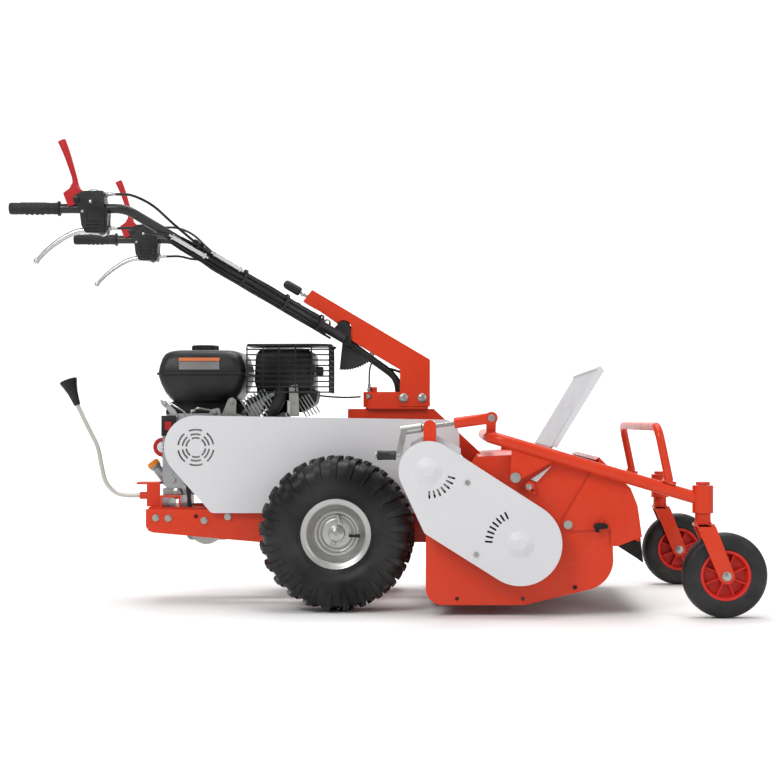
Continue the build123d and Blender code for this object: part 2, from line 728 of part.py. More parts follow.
def make_hood():
    """Hinged front hood with its latches and the black flap below it; returns the hood's hinge bolts."""
    cheek_in = deck_y + 2.5
    cheek_out = cheek_in + sheet
    cheek = [
        (449, 241), (522, 363.5), (548, 404.5), (626, 328), (644, 283), (655, 204),
        (594, 180), (575, 180), (575, 224.5), (458, 218),
    ]
    skin = [(548, 404.5), (626, 328), (644, 283), (655, 204), (652, 203.5), (641, 282), (623.5, 326), (546, 402)]
    with BuildPart() as hood:
        for side in (-1, 1):
            side_slab(cheek, side * cheek_in, side * cheek_out)
            cross_rod(6 + running_fit, *hood_hinge, side * cheek_in, side * cheek_out, Mode.SUBTRACT)
        side_slab(skin, -cheek_out, cheek_out)
        for side in (-1, 1):
            block((533, 567), (side * cheek_out, side * (cheek_out + 9)), (226, 239))
            side_slab([(547, 239), (556, 239), (556, 252), (551, 254)], side * cheek_out, side * (cheek_out + 5))
            block((flap_hinge[0] - 8, flap_hinge[0]), (side * 316, side * cheek_in), (204, 214))
        for side in (-1, 1):
            cross_rod(7, *flap_hinge, side * 316, side * 322)
            block((flap_hinge[0] - 7, flap_hinge[0] - 1), (side * 316, side * 322), (flap_hinge[1], 212))
            cross_rod(3.5, *flap_hinge, side * 300, side * 322)
    save(hood.part, "front_hood")

    with BuildPart() as hinges:
        for side in (-1, 1):
            cross_rod(6, *hood_hinge, side * inner_width(), side * (cheek_out + 6))
            cross_rod(11, *hood_hinge, side * deck_y, side * (cheek_in - slip))
            cross_rod(11, *hood_hinge, side * (cheek_out + slip), side * (cheek_out + 6))

    with BuildPart() as flap:
        for side in (-1, 1):
            side_slab([(598, 176), (656, 199), (665, 133)], side * 309, side * 312)
            cross_rod(8, *flap_hinge, side * 309, side * 315)
        side_slab([(655, 199.5), (659, 199.5), (667, 133), (663, 133)], -312, 312)
        for side in (-1, 1):
            cross_rod(3.5 + running_fit, *flap_hinge, side * 300, side * 322, Mode.SUBTRACT)
    save(flap.part, "front_flap")
    return hinges.part


# ---------------------------------------------------------------- lifting arms
def make_arms():
    """Bent arms with their cross tube, caster sockets and pivot plates, and the hoop; returns the pivot bolts."""
    arm_end_x = swivel_x - 20
    arm_end_z = on_line(arm_rear, arm_front, arm_end_x)
    path = [(arm_rear[0], -arm_split_y, arm_rear[1]), (arm_rear[0], -arm_y, arm_rear[1]), (arm_end_x, -arm_y, arm_end_z)]
    tube = swept_rod(path, arm_bend, arm_radius, arm_wall)
    plate_in, plate_out = arm_y - 3, arm_y + 3

    def arm(right):
        """Right arm; only this one carries the ear for the height screw."""
        with BuildPart() as piece:
            add(tube)
            socket_y = -arm_y
            with Locations((swivel_x, socket_y, (socket_bottom_z + socket_top_z) / 2)):
                Cylinder(socket_radius, socket_top_z - socket_bottom_z)
                Cylinder(swivel_radius + running_fit, socket_top_z - socket_bottom_z, mode=Mode.SUBTRACT)
            side_slab(
                [(322, on_line(arm_rear, arm_front, 322) - 8), (430, on_line(arm_rear, arm_front, 430) - 8),
                 (427, 398), (346, 352), (331, 342), (317, 352)],
                -plate_in, -plate_out,
            )
            cross_rod(14, *arm_pivot, -plate_in, -plate_out)
            cross_rod(arm_pivot_radius + running_fit, *arm_pivot, -plate_in, -plate_out, Mode.SUBTRACT)
            if right:
                side_hull(((arm_rear[0] + 3, arm_rear[1] + 6, 12), (*ear_pin, 13)), -366, -373)
                cross_rod(ear_pin_radius, *ear_pin, -366, -arm_y - 12)
                cross_rod(9, *ear_pin, -arm_y - 9, -arm_y - 12)
        return piece.part

    cross_points = [(arm_rear[0], -arm_split_y, arm_rear[1]), (arm_rear[0], arm_split_y, arm_rear[1])]
    cross_tube = swept_rod(cross_points, 0, arm_radius, arm_wall)
    right_arm = arm(True)
    left_arm = flip(arm(False))
    with BuildPart() as frame:
        add(right_arm)
        add(left_arm)
        add(cross_tube)
    save(frame.part, "arm_frame")

    saddle = 8
    slope = atan2(arm_rear[1] - arm_front[1], arm_front[0] - arm_rear[0])
    lift = arm_radius + saddle / 2 + 0.2
    seat_x = hoop_foot[0] + lift * sin(slope)
    seat_z = on_line(arm_rear, arm_front, hoop_foot[0]) + lift * cos(slope)
    hoop_points = [
        (seat_x, -arm_y, seat_z + 1), (hoop_top[0], -arm_y, hoop_top[1]),
        (hoop_top[0], arm_y, hoop_top[1]), (seat_x, arm_y, seat_z + 1),
    ]
    hoop_tube = swept_rod(hoop_points, 38, hoop_radius, 2)
    with BuildPart() as hoop:
        add(hoop_tube)
        for side in (-1, 1):
            with Locations(Location((seat_x, side * arm_y, seat_z), (0, degrees(slope), 0))):
                Box(34, 24, saddle)
    save(hoop.part, "front_hoop")

    with BuildPart() as pivots:
        for side in (-1, 1):
            cross_rod(arm_pivot_radius, *arm_pivot, side * inner_width(), side * (plate_out + 8))
            cross_rod(13, *arm_pivot, side * deck_y, side * (plate_in - slip))
            cross_rod(13, *arm_pivot, side * (plate_out + slip), side * (plate_out + 8))
            cross_rod(9, 366, 332, side * deck_y, side * (deck_y + 8))
    return pivots.part


# ---------------------------------------------------------------- height screw
def make_height_screw():
    """Trunnion bracket, crank with its threaded rod, and the nut tube hooked on the arm's ear pin."""
    run = (ear_pin[0] - screw_pivot[0], ear_pin[1] - screw_pivot[1])
    length = hypot(*run)
    tilt = degrees(atan2(run[1], run[0]))
    along = Location((screw_pivot[0], -arm_y, screw_pivot[1]), (0, -tilt, 0))
    arm_back = -deck_y - 9
    with BuildPart() as bracket:
        block((98, 130), (cover_back_y, arm_back + 1), (430, 486))
        cross_rod(16, *screw_pivot, cover_back_y, arm_back + 1)
        cross_rod(6, *screw_pivot, arm_back, -arm_y - 13)
    with BuildPart() as trimmed:
        add(bracket.part)
        block((90, 140), (cover_back_y - 4, cover_back_y), (380, 470), Mode.SUBTRACT)
    save(trimmed.part, "screw_trunnion")

    rod_end = nut_tube_start + 50
    with BuildPart() as crank:
        with Locations(along):
            with Locations((0, 0, 0)):
                Box(26, 18, 26)
            with Locations(((rod_end - 70) / 2, 0, 0)):
                Cylinder(screw_radius, rod_end + 70, rotation=(0, 90, 0))
            with Locations((-46, 0, 0)):
                Cylinder(10, 56, rotation=(0, 90, 0))
        cross_rod(6 + running_fit, *screw_pivot, -arm_y - 14, -arm_y + 14, Mode.SUBTRACT)
        side_hull(((50, 474, 6), (36, 419, 6)), -arm_y - 16, -arm_y - 10)
        side_hull(((50, 474, 6), (50, 476, 6)), -arm_y - 12, -arm_y)
        with Locations((13, -arm_y - 13, 413)):
            Cylinder(4, 58, rotation=(0, 90, 0))

    with BuildPart() as grip:
        with Locations(Location((4.5, -arm_y - 13, 413), (0, 90, 0))):
            Cylinder(12, 49)
            Cylinder(4 + running_fit, 49, mode=Mode.SUBTRACT)
    save_group([crank.part, grip.part], "height_crank")

    with BuildPart() as nut:
        with Locations(along):
            with Locations(((nut_tube_start + length - 18) / 2, 0, 0)):
                Cylinder(nut_tube_radius, length - 18 - nut_tube_start, rotation=(0, 90, 0))
            with Locations(((nut_tube_start + length - 24) / 2, 0, 0)):
                Cylinder(screw_radius + slip, length - 24 - nut_tube_start, rotation=(0, 90, 0), mode=Mode.SUBTRACT)
            with Locations((length - 12, 0, 0)):
                Box(26, 10, 20)
        cross_rod(14, *ear_pin, -arm_y - 5, -arm_y + 5)
        cross_rod(ear_pin_radius + 4, *ear_pin, -arm_y - 5, -arm_y + 5, Mode.SUBTRACT)
    save(nut.part, "screw_nut_tube")


# ---------------------------------------------------------------- column and turntable
def make_column():
    """Support with its turntable, base block, red column, pawl and lock rod; returns tilt sector and swivel bolt."""
    rail_bottom = rail_top_z - rail_height
    half = rail_half_width
    rail = [
        (-119, rail_top_z), (120, rail_top_z), (252, on_line(deck_top_rear, deck_top_mid, 252)), deck_top_rear,
        (219, on_line((deck_rear_x, deck_knee_z), deck_top_rear, 219)), (107, rail_bottom), (-119, rail_bottom),
    ]
    post_foot = plate_top_z + bed_thickness
    with BuildPart() as support:
        side_slab(rail, -half, half)
        block((-119, -89), (-half, half), (post_foot, rail_bottom))
        block((-140, -68), (-bed_half_width + 8, bed_half_width - 8), (plate_top_z, post_foot))
        with Locations((swivel_bolt_x, 0, rail_top_z - rail_height / 2)):
            Cylinder(10, rail_height, mode=Mode.SUBTRACT)

    plate_top = rail_top_z + turntable_thickness
    with BuildPart() as turntable:
        block((-70, 104), (-46, 46), (rail_top_z, plate_top))
        fillet(turntable.edges().filter_by(Axis.Z), 18)
        with Locations((swivel_bolt_x, 0, rail_top_z + turntable_thickness / 2)):
            Cylinder(10, turntable_thickness, mode=Mode.SUBTRACT)
        add(support.part)
    save(turntable.part, "column_support")

    base_top = plate_top + base_height
    with BuildPart() as bolt:
        with Locations((swivel_bolt_x, 0, (rail_bottom - 12 + base_top + 10) / 2)):
            Cylinder(10, base_top + 10 - rail_bottom + 12)
        with BuildSketch(Plane.XY.offset(rail_bottom - 12)):
            with Locations((swivel_bolt_x, 0)):
                RegularPolygon(17, 6)
        extrude(amount=12)
        with BuildSketch(Plane.XY.offset(base_top + slip)):
            with Locations((swivel_bolt_x, 0)):
                RegularPolygon(17, 6)
        extrude(amount=10)

    inner = column_half_width - column_wall
    with BuildPart() as base:
        block((-76, 105), (-inner, inner), (plate_top, base_top))
        chamfer(base.edges().filter_by(Axis.Z).group_by(Axis.X)[0], 14)
        with Locations((swivel_bolt_x, 0, plate_top + base_height / 2)):
            Cylinder(10 + running_fit, base_height, mode=Mode.SUBTRACT)
        for x in column_bolt_xs:
            for side in (-1, 1):
                cross_rod(6, x, 563, side * (inner - 20), side * inner, Mode.SUBTRACT)
        with Locations((-52, 0, base_top + 7)):
            Box(26, 26, 14)

    outline = [
        (109, 540), (109, 669.9), (-217, 862.6), (-242.5, 830.5), (-201, 807.5),
        (-155, 775.4), (-104.5, 720.3), (26.2, 642.2), (26.2, 540),
    ]
    hollow = [(105, 530), (105, 667.6), (-216.1, 857.4), (-247, 818.4), (-130, 670), (10, 560), (10, 530)]
    rib = [(-145, 757), (-145, 816), (-115, 798.5), (-115, 757)]
    with BuildPart() as column:
        side_slab(outline, -column_half_width, column_half_width)
        side_slab(hollow, -inner, inner, Mode.SUBTRACT)
        cross_rod(tilt_notch_radius, tilt_x, tilt_z, -column_half_width, column_half_width, Mode.SUBTRACT)
        side_slab(rib, -4, 4)
        cross_rod(15, tilt_x, tilt_z, -22, 22)
        cross_rod(tilt_pin_radius + running_fit, tilt_x, tilt_z, -22, 22, Mode.SUBTRACT)
        cross_rod(5, -40, 704, -column_half_width, column_half_width)
        with Locations(lock_spot(0)):
            Cylinder(5 + running_fit, 60, mode=Mode.SUBTRACT)
        for x in column_bolt_xs:
            cross_rod(6, x, 563, -column_half_width, column_half_width, Mode.SUBTRACT)
    save(column.part, "column")

    with BuildPart() as bolts:
        for x in column_bolt_xs:
            for side in (-1, 1):
                cross_rod(6, x, 563, side * (inner - 20), side * column_half_width)
                cross_rod(10.6, x, 563, side * column_half_width, side * (column_half_width + 5))
    save_group([base.part, bolts.part], "column_base")

    with BuildPart() as sector:
        cross_rod(tilt_pin_radius, tilt_x, tilt_z, -46, 46)
        with BuildSketch(side_plane(-26)) as face:
            with Locations((tilt_x, tilt_z)):
                Circle(18)
            with BuildLine():
                reach = 210
                rays = [radians(angle) for angle in (-96, -50)]
                ends = [(tilt_x + reach * cos(a), tilt_z + reach * sin(a)) for a in rays]
                Polyline((tilt_x, tilt_z), *ends, close=True)
            make_face()
            with BuildSketch(side_plane(-26), mode=Mode.INTERSECT):
                with Locations((tilt_x, tilt_z)):
                    Circle(sector_radius)
            for tooth in range(12):
                angle = radians(-94 + 3.7 * tooth)
                with Locations((tilt_x + sector_radius * cos(angle), tilt_z + sector_radius * sin(angle))):
                    Circle(2.4, mode=Mode.SUBTRACT)
        extrude(face.sketch, amount=6)

    with BuildPart() as pawl:
        side_hull(((-40, 704, 9), (-57, 678, 7)), -24, -18)
        side_hull(((-40, 704, 9), (-31, 716, 5)), -24, -18)
        cross_rod(5 + running_fit, -40, 704, -24, -18, Mode.SUBTRACT)
    save(pawl.part, "tilt_pawl")

    with BuildPart() as lock:
        with Locations(lock_spot(-110)):
            Cylinder(5, 286)
        with Locations(lock_spot(52)):
            Cylinder(13, 52)
        with Locations(lock_spot(20)):
            Cylinder(8, 14)
    save(lock.part, "lock_rod")
    return sector.part, bolt.part


def lock_spot(reach):
    """Location on the lock rod's axis, this far up and back from the column's end face."""
    slope = radians(149.4)
    start = (-230, -14, 845)
    centre = (start[0] + reach * cos(slope), start[1], start[2] + reach * sin(slope))
    return Location(Plane(centre, z_dir=(cos(slope), 0, sin(slope))))


# ---------------------------------------------------------------- handlebar
def make_handlebar(tilt_sector):
    """Bent tubes welded to the tilt sector, grips, lever housings, red and silver levers."""
    bar_points = [(grip_end_x + 6, -handle_y, handle_height), (bar_bend_x, -handle_y, handle_height),
                  (bar_end[0], -bar_end[1], bar_end[2])]
    bar_tube = swept_rod(bar_points, 70, bar_radius, bar_wall)
    with BuildPart() as bar:
        add(bar_tube)
        side_hull(((tilt_x, tilt_z, 18), (-150, 742, 14), (-118, 718, 10)), -46, -53)
    with BuildPart() as frame:
        add(bar.part)
        add(flip(bar.part))
        add(tilt_sector)
    save(frame.part, "handlebar")

    with BuildPart() as grip:
        with Locations(((grip_end_x + grip_front_x) / 2, -handle_y, handle_height)):
            Cylinder(grip_radius, grip_front_x - grip_end_x, rotation=(0, 90, 0))
        with Locations((grip_front_x + 2, -handle_y, handle_height)):
            Cylinder(grip_radius + 4, 4, rotation=(0, 90, 0))
        with Locations(((grip_end_x + 6 + grip_front_x + 4) / 2, -handle_y, handle_height)):
            Cylinder(bar_radius, grip_front_x + 4 - grip_end_x - 6, rotation=(0, 90, 0), mode=Mode.SUBTRACT)
    save_group([grip.part, flip(grip.part)], "grips")

    half, core, gap = 22, 13, 17.5
    y = -handle_y
    red_x, red_z = red_pivot
    brake_x, brake_z = brake_pivot
    with BuildPart() as housing:
        side_slab([(-800, 1058), (-800, 1078), (-778, 1091), (-724, 1091), (-720, 1040), (-800, 1040)], y - half, y + half)
        side_slab([(-786, 1042), (-780, 1000), (-770, 982), (-716, 980), (-714, 1042)], y - half, y + half)
        cross_rod(10, red_x, red_z, y - half, y + half)
        block((-804, -774), (y - gap, y + gap), (handle_height + bar_radius + 1, 1093), Mode.SUBTRACT)
        cross_rod(38, red_x, red_z, y - gap, y + gap, Mode.SUBTRACT)
        block((-792, -718), (y - 7, y + 7), (974, 1022), Mode.SUBTRACT)
        with Locations((-760, y, handle_height)):
            Cylinder(bar_radius, 100, rotation=(0, 90, 0), mode=Mode.SUBTRACT)
        cross_rod(2.5, red_x, red_z, y - half, y + half)
        cross_rod(3, brake_x, brake_z, y - half, y + half)
        with Locations((-714, y, 1082)):
            Cylinder(4.5, 32, rotation=(0, 90, 0))
        with Locations((-704, y, 996)):
            Cylinder(4.5, 24, rotation=(0, 90, 0))
    save_group([housing.part, flip(housing.part)], "lever_housings")

    stem = [(red_x - 4, red_z + 30), (red_x - 31, red_z + 150), (red_x - 55, red_z + 160),
            (red_x - 50, red_z + 145), (red_x - 25, red_z + 40), (red_x - 16, red_z + 26)]
    cheek = [(red_x - 34, red_z + 16), (red_x - 24, red_z - 19), (red_x - 8, red_z - 17), (red_x + 8, red_z - 5),
             (red_x + 9, red_z + 9), (red_x - 2, red_z + 36), (red_x - 16, red_z + 36)]
    with BuildPart() as red:
        for side in (-1, 1):
            side_slab(cheek, y + side * (core + 0.6), y + side * (gap - 0.6))
        side_slab(
            [(red_x - 14, red_z + 12), (red_x + 7, red_z + 12), (red_x - 2, red_z + 36), (red_x - 16, red_z + 36)],
            y - core - 1, y + core + 1,
        )
        side_slab(stem, y - 9, y + 9)
        cross_rod(2.5 + running_fit, red_x, red_z, y - gap, y + gap, Mode.SUBTRACT)
    save_pair(red.part, "red_lever")

    brake_points = [(brake_x, y, brake_z), (brake_x - 61, y, brake_z + 2), (brake_x - 111, y, brake_z - 22),
                    (brake_x - 147, y, brake_z - 46), (brake_x - 171, y, brake_z - 72)]
    brake_rod = swept_rod(brake_points, 24, 5)
    with BuildPart() as brake:
        add(brake_rod)
        with Locations(brake_points[-1]):
            Sphere(8.5, rotation=(90, 0, 0))
        cross_rod(7.5, brake_x, brake_z, y - 6, y + 6)
        cross_rod(3 + running_fit, brake_x, brake_z, y - 6, y + 6, Mode.SUBTRACT)
    save_pair(brake.part, "brake_lever")


def make_gear_lever():
    """Bent gear rod with its flared knob, sliding in the rear bracket."""
    rod_points = [(-658, -45, 293), (-735, -45, 293), (-790, -45, 335), (-812, -45, 430), (-869.5, -45, 548)]
    rod = swept_rod(rod_points, (34, 30, 60), 6)
    away = (-26, 0, 69)
    with BuildPart() as lever:
        add(rod)
        with Locations(Location(Plane((-881, -45, 579), z_dir=away))):
            Cone(8.5, 25.5, 72)
    save(lever.part, "gear_lever")


# ---------------------------------------------------------------- engine
def make_engine():
    """Crankcase, slanted finned cylinder, tank and cap, muffler and cage, air cleaner, starter and small parts."""
    face = engine_face_y
    with BuildPart() as case:
        block((-628, -400), (face, 110), (engine_base_z + 14, 520))
        fillet(case.edges().filter_by(Axis.Y), 26)
        block((-632, -396), (face + 4, 106), (engine_base_z, engine_base_z + 16))
        cross_rod(crank_radius + running_fit, crank_x, crank_z, face, -26, Mode.SUBTRACT)

    lean = 25
    barrel = Location((-390, 20, 420), (0, 90 - lean, 0))
    with BuildPart() as cylinder:
        with Locations(barrel):
            with Locations((0, 0, 45)):
                Box(96, 110, 100)
            for fin in range(9):
                with Locations((0, 0, 8 + 11 * fin)):
                    Box(132, 142, 3)
            with Locations((0, 0, 112)):
                Box(110, 120, 34)
        add(case.part)
    save(cylinder.part, "engine_block")

    with BuildPart() as tank:
        block((-637, -397), (-100, 150), (552, 695))
        fillet(tank.edges().filter_by(Axis.Z), 30)
        fillet(tank.faces().sort_by(Axis.Z)[-1].edges(), 20)
        block((-650, -384), (-112, 162), (625, 631))
        chamfer(tank.edges().filter_by(Axis.Z).filter_by(lambda e: e.length < 7), 24)
        for x in (-600, -430):
            block((x - 14, x + 14), (0, 60), (520, 553))
    save(tank.part, "fuel_tank")

    with BuildPart() as cap:
        with Locations((-523, 20, 703.5)):
            Cylinder(36, 17)
        for lobe in range(12):
            with Locations(Location((-523, 20, 703.5), (0, 0, 30 * lobe))):
                with Locations((36, 0, 0)):
                    Cylinder(3, 17)
    save(cap.part, "fuel_cap")

    with BuildPart() as muffler:
        block((-380, -205), (-88, 8), (583, 702))
        fillet(muffler.edges().filter_by(Axis.Y), 30)
        block((-205.5, -186), (-60, -20), (622, 652))
        block((-320, -280), (-88, -51.3), (505, 590))
    save(muffler.part, "muffler")

    bars = [576 + 15 * step for step in range(9)]
    with BuildPart() as cage:
        for z in bars:
            block((-392, -163), (-110, -107), (z - 1.5, z + 1.5))
            block((-166, -163), (-110, 20), (z - 1.5, z + 1.5))
        for x in (-389, -346, -303, -260, -217, -172):
            block((x - 2, x + 2), (-110, -107), (574.5, 705))
        block((-166, -163), (14, 20), (574.5, 705))
        block((-394, -161), (-110, 20), (702.5, 707))
        block((-330, -290), (-110, -88), (636, 652))
    save(cage.part, "muffler_guard")

    with BuildPart() as cleaner:
        block((-384, -215), (30, 160), (556, 700))
        fillet(cleaner.edges().filter_by(Axis.Z), 24)
        block((-360, -300), (91.3, 140), (500, 556))
    save(cleaner.part, "air_cleaner")

    with BuildPart() as shroud:
        block((-634, -396), (110, 168), (engine_base_z + 10, 549))
        fillet(shroud.edges().filter_by(Axis.Y), 40)
        cross_rod(96, crank_x, crank_z, 168, 205)
        cross_rod(60, crank_x, crank_z, 205, 222)
        for ring in range(12):
            with Locations(Location((crank_x, 195, crank_z), (0, 30 * ring, 0))):
                with Locations((78, 10, 0)):
                    Box(24, 8, 9, mode=Mode.SUBTRACT)
    save(shroud.part, "recoil_starter")

    with BuildPart() as filler:
        with Locations(Location((-645, 6, 352), (0, -38, 0))):
            Cylinder(13, 62)
            with Locations((0, 0, 36)):
                Cylinder(17, 14)
        block((-628, -560), (face - 3, 60), (300, 420), Mode.SUBTRACT)
    save(filler.part, "oil_filler")

    with BuildPart() as switch:
        block((-628, -590), (face - 16, face), (458, 514))
        block((-619, -599), (face - 17, face - 7), (472, 500), Mode.SUBTRACT)
        with Locations((-609, face - 10, 486)):
            Cylinder(2, 30, rotation=(0, 90, 0))
    save(switch.part, "stop_switch")

    with BuildPart() as rocker:
        block((-618, -600), (face - 18, face - 10), (474, 498))
        with Locations((-609, face - 10, 486)):
            Cylinder(2 + running_fit, 18, rotation=(0, 90, 0), mode=Mode.SUBTRACT)
    save(rocker.part, "stop_rocker")


# ---------------------------------------------------------------- cables
def make_cables():
    """Bowden cables clipped along the handlebar tubes, their stretch inside the column, and the throttle cable."""
    start, level = -handle_y, 60
    upper = [(-697.6, start, 1082), (-655, start, 1082), (-606, 22 + start, 1058), (-556, 53 + start, 1013)]
    upper += [beside_bar(x, 16.4 + lift, 0) for x, lift in zip(range(-500, -150, level), (0, 3, 0.4, 3, 0.2, 2))]
    lower = [(-691.6, start, 996), (-652, start, 996), (-610, 18 + start, 986)]
    lower += [beside_bar(x, -4, 16.4 + gap) for x, gap in zip(range(-560, -150, level), (0.2, 3, 0, 3, 0.4, 2, 0.2))]
    offsets = []
    for route in (upper, lower):
        radii = arc_radii(route)
        print("cable radii", [round(r) for r in radii], "length", round(route_length(route)))
        offsets.append(swept_rod(route, radii, cable_radius))
    save_group(offsets + [flip(piece) for piece in offsets], "handlebar_cables")

    inlet = []
    for offset in (-10.5, -3.5, 3.5, 10.5):
        inlet.append([(-92, offset, 690), (-40, offset, 655), (15, offset, 640), (58, offset, 620), (66, offset, 592)])
    pieces = [swept_rod(route, arc_radii(route), cable_radius) for route in inlet]
    save_group(pieces, "column_cables")

    throttle = [(-214.6, 60, 572), (-168, 44, 567), (-124, 22, 565), (-86, 7, 567)]
    save(swept_rod(throttle, arc_radii(throttle), 2.5), "throttle_cable")


def beside_bar(x, up, out):
    """Point beside the right tube's straight part, level with X = x on its axis, moved up and outboard."""
    bend = Vector(bar_bend_x, -handle_y, handle_height)
    run = (Vector(bar_end[0], -bar_end[1], bar_end[2]) - bend).normalized()
    side = run.cross(Vector(0, 0, 1)).normalized()
    return tuple(bend + run * ((x - bend.X) / run.X) + side.cross(run) * up + side * out)


def arc_radii(points):
    """Radius at each inner corner: 0.45 of the shorter run over the tangent of half the turn."""
    radii = []
    for before, corner, after in zip(points, points[1:], points[2:]):
        first, second = Vector(*corner) - Vector(*before), Vector(*after) - Vector(*corner)
        half_turn = radians(first.get_angle(second)) / 2
        radii.append(0.45 * min(first.length, second.length) / max(sin(half_turn) / cos(half_turn), 0.001))
    return radii


def route_length(points):
    """Sum of the straight runs of a route."""
    return sum((Vector(*b) - Vector(*a)).length for a, b in zip(points, points[1:]))


os.makedirs("parts", exist_ok=True)
make_drive_wheels()
make_casters()
plate_bolts = make_chassis()
make_drive()
make_deck()
cover_screws = make_deck_covers()
hood_bolts = make_hood()
arm_bolts = make_arms()
make_height_screw()
tilt_sector, swivel_bolt = make_column()
make_handlebar(tilt_sector)
make_gear_lever()
make_engine()
make_cables()
save_group([plate_bolts, cover_screws], "frame_bolts")
save_group([hood_bolts, arm_bolts, swivel_bolt], "pivot_bolts")
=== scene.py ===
from math import cos, pi, radians, sin
import bmesh
import bpy
from mathutils import Matrix, Vector


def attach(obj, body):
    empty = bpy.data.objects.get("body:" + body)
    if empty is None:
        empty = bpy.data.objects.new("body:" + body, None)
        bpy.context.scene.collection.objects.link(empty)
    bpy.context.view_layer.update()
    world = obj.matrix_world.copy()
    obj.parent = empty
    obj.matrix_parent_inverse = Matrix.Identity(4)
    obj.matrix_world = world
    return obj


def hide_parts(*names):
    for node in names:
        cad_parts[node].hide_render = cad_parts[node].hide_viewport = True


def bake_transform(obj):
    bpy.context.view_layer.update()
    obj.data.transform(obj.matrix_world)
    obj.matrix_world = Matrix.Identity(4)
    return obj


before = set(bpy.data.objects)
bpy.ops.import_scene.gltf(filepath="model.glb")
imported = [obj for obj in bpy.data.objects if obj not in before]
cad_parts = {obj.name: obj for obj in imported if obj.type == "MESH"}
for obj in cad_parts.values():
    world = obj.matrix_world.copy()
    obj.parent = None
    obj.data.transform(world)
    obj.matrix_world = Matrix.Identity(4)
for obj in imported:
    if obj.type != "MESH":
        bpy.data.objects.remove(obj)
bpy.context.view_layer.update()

# Looks of the walk-behind flail mower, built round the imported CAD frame.
# Pieces are written in millimetres in the row frame and stored in metres.
MM = 0.001
SMALLEST_RADIUS = 0.02
UP, ACROSS = Vector((0, 0, 1)), Vector((0, 1, 0))
OUTWARD = (0, -1, 0)  # towards the near side
SIDES = (("right", -1), ("left", 1))


def place(name, data, spot=(0, 0, 0)):
    """New object holding the data, linked into the scene."""
    thing = bpy.data.objects.new(name, data)
    thing.location = spot
    bpy.context.collection.objects.link(thing)
    return thing


# ---------------- camera, light and floor
CAMERA_PLACE = (0.165, -4.3, 0.502)
CAMERA_SENSOR, CAMERA_LENS = 36, 71.07
CAMERA_SHIFT = (-0.0784, 0.0533)
FLOOR_NEAR, FLOOR_FAR, FLOOR_HALF_WIDTH = -9, 3.5, 12
SWEEP_RADIUS, WALL_TOP = 3, 9
WORLD_STRENGTH = 0.42
# name, place, size, watts, point it is turned to
LAMPS = (
    ("key", (-2.2, -3.8, 3.4), 1.8, 105, (0.1, 0, 0.5)),
    ("fill", (3.6, -3.2, 2.2), 2.2, 38, (0.2, 0, 0.4)),
    ("top", (0.2, -0.2, 4.6), 3.0, 95, (0, 0.5, 0)),
    ("sweep", (0.2, 2.4, 5.6), 3.4, 300, (0.2, 6.5, 1.6)),
)


def set_stage():
    """Camera at the machine's right, a pale sweep of floor and backdrop, and four soft lights."""
    camera = bpy.data.cameras.new("camera")
    camera.sensor_width = CAMERA_SENSOR
    camera.lens = CAMERA_LENS
    camera.shift_x, camera.shift_y = CAMERA_SHIFT
    holder = place("camera", camera, CAMERA_PLACE)
    holder.rotation_euler = (radians(90), 0, 0)
    bpy.context.scene.camera = holder

    bm = bmesh.new()
    profile = [(FLOOR_NEAR, 0), (FLOOR_FAR, 0)]
    for degrees in range(5, 91, 5):
        a = radians(degrees)
        profile.append((FLOOR_FAR + SWEEP_RADIUS * sin(a), SWEEP_RADIUS - SWEEP_RADIUS * cos(a)))
    profile.append((FLOOR_FAR + SWEEP_RADIUS, WALL_TOP))
    rows = [[bm.verts.new((x, y, z)) for y, z in profile] for x in (-FLOOR_HALF_WIDTH, FLOOR_HALF_WIDTH)]
    for i in range(len(profile) - 1):
        bm.faces.new((rows[0][i], rows[1][i], rows[1][i + 1], rows[0][i + 1]))
    mesh = bpy.data.meshes.new("floor")
    bm.to_mesh(mesh)
    bm.free()
    for face in mesh.polygons:
        face.use_smooth = True
    floor = place("floor", mesh)
    mesh.materials.append(finish("floor_paper", (0.9, 0.9, 0.9), rough=0.9, vary=0.01, grain=300, bump=0.0))

    for name, spot, size, power, aim in LAMPS:
        light = bpy.data.lights.new(name, "AREA")
        light.size = size
        light.energy = power
        lamp = place(name, light, spot)
        lamp.visible_camera = False
        lamp.rotation_euler = (Vector(aim) - Vector(spot)).to_track_quat("-Z", "Y").to_euler()
    world = bpy.data.worlds.new("studio")
    world.use_nodes = True
    background = world.node_tree.nodes["Background"]
    background.inputs["Color"].default_value = (1, 1, 1, 1)
    background.inputs["Strength"].default_value = WORLD_STRENGTH
    bpy.context.scene.world = world
    bpy.context.scene.view_settings.view_transform = "Standard"


# ---------------- materials
MATERIALS = {}
# noise scales per metre
CLOUDS, GLOSS_CLOUDS, SCUFFS, DUST_CLOUDS, WAVES = 7.0, 38.0, 60.0, 28.0, 95.0
DUST_COLOUR = (0.23, 0.17, 0.12)
DUST_LOW, DUST_HIGH = 0.02, 0.45  # metres above the ground
GLOSS_SWING = 0.07
COAT_ROUGHNESS = 0.12
RELIEF = 0.0006


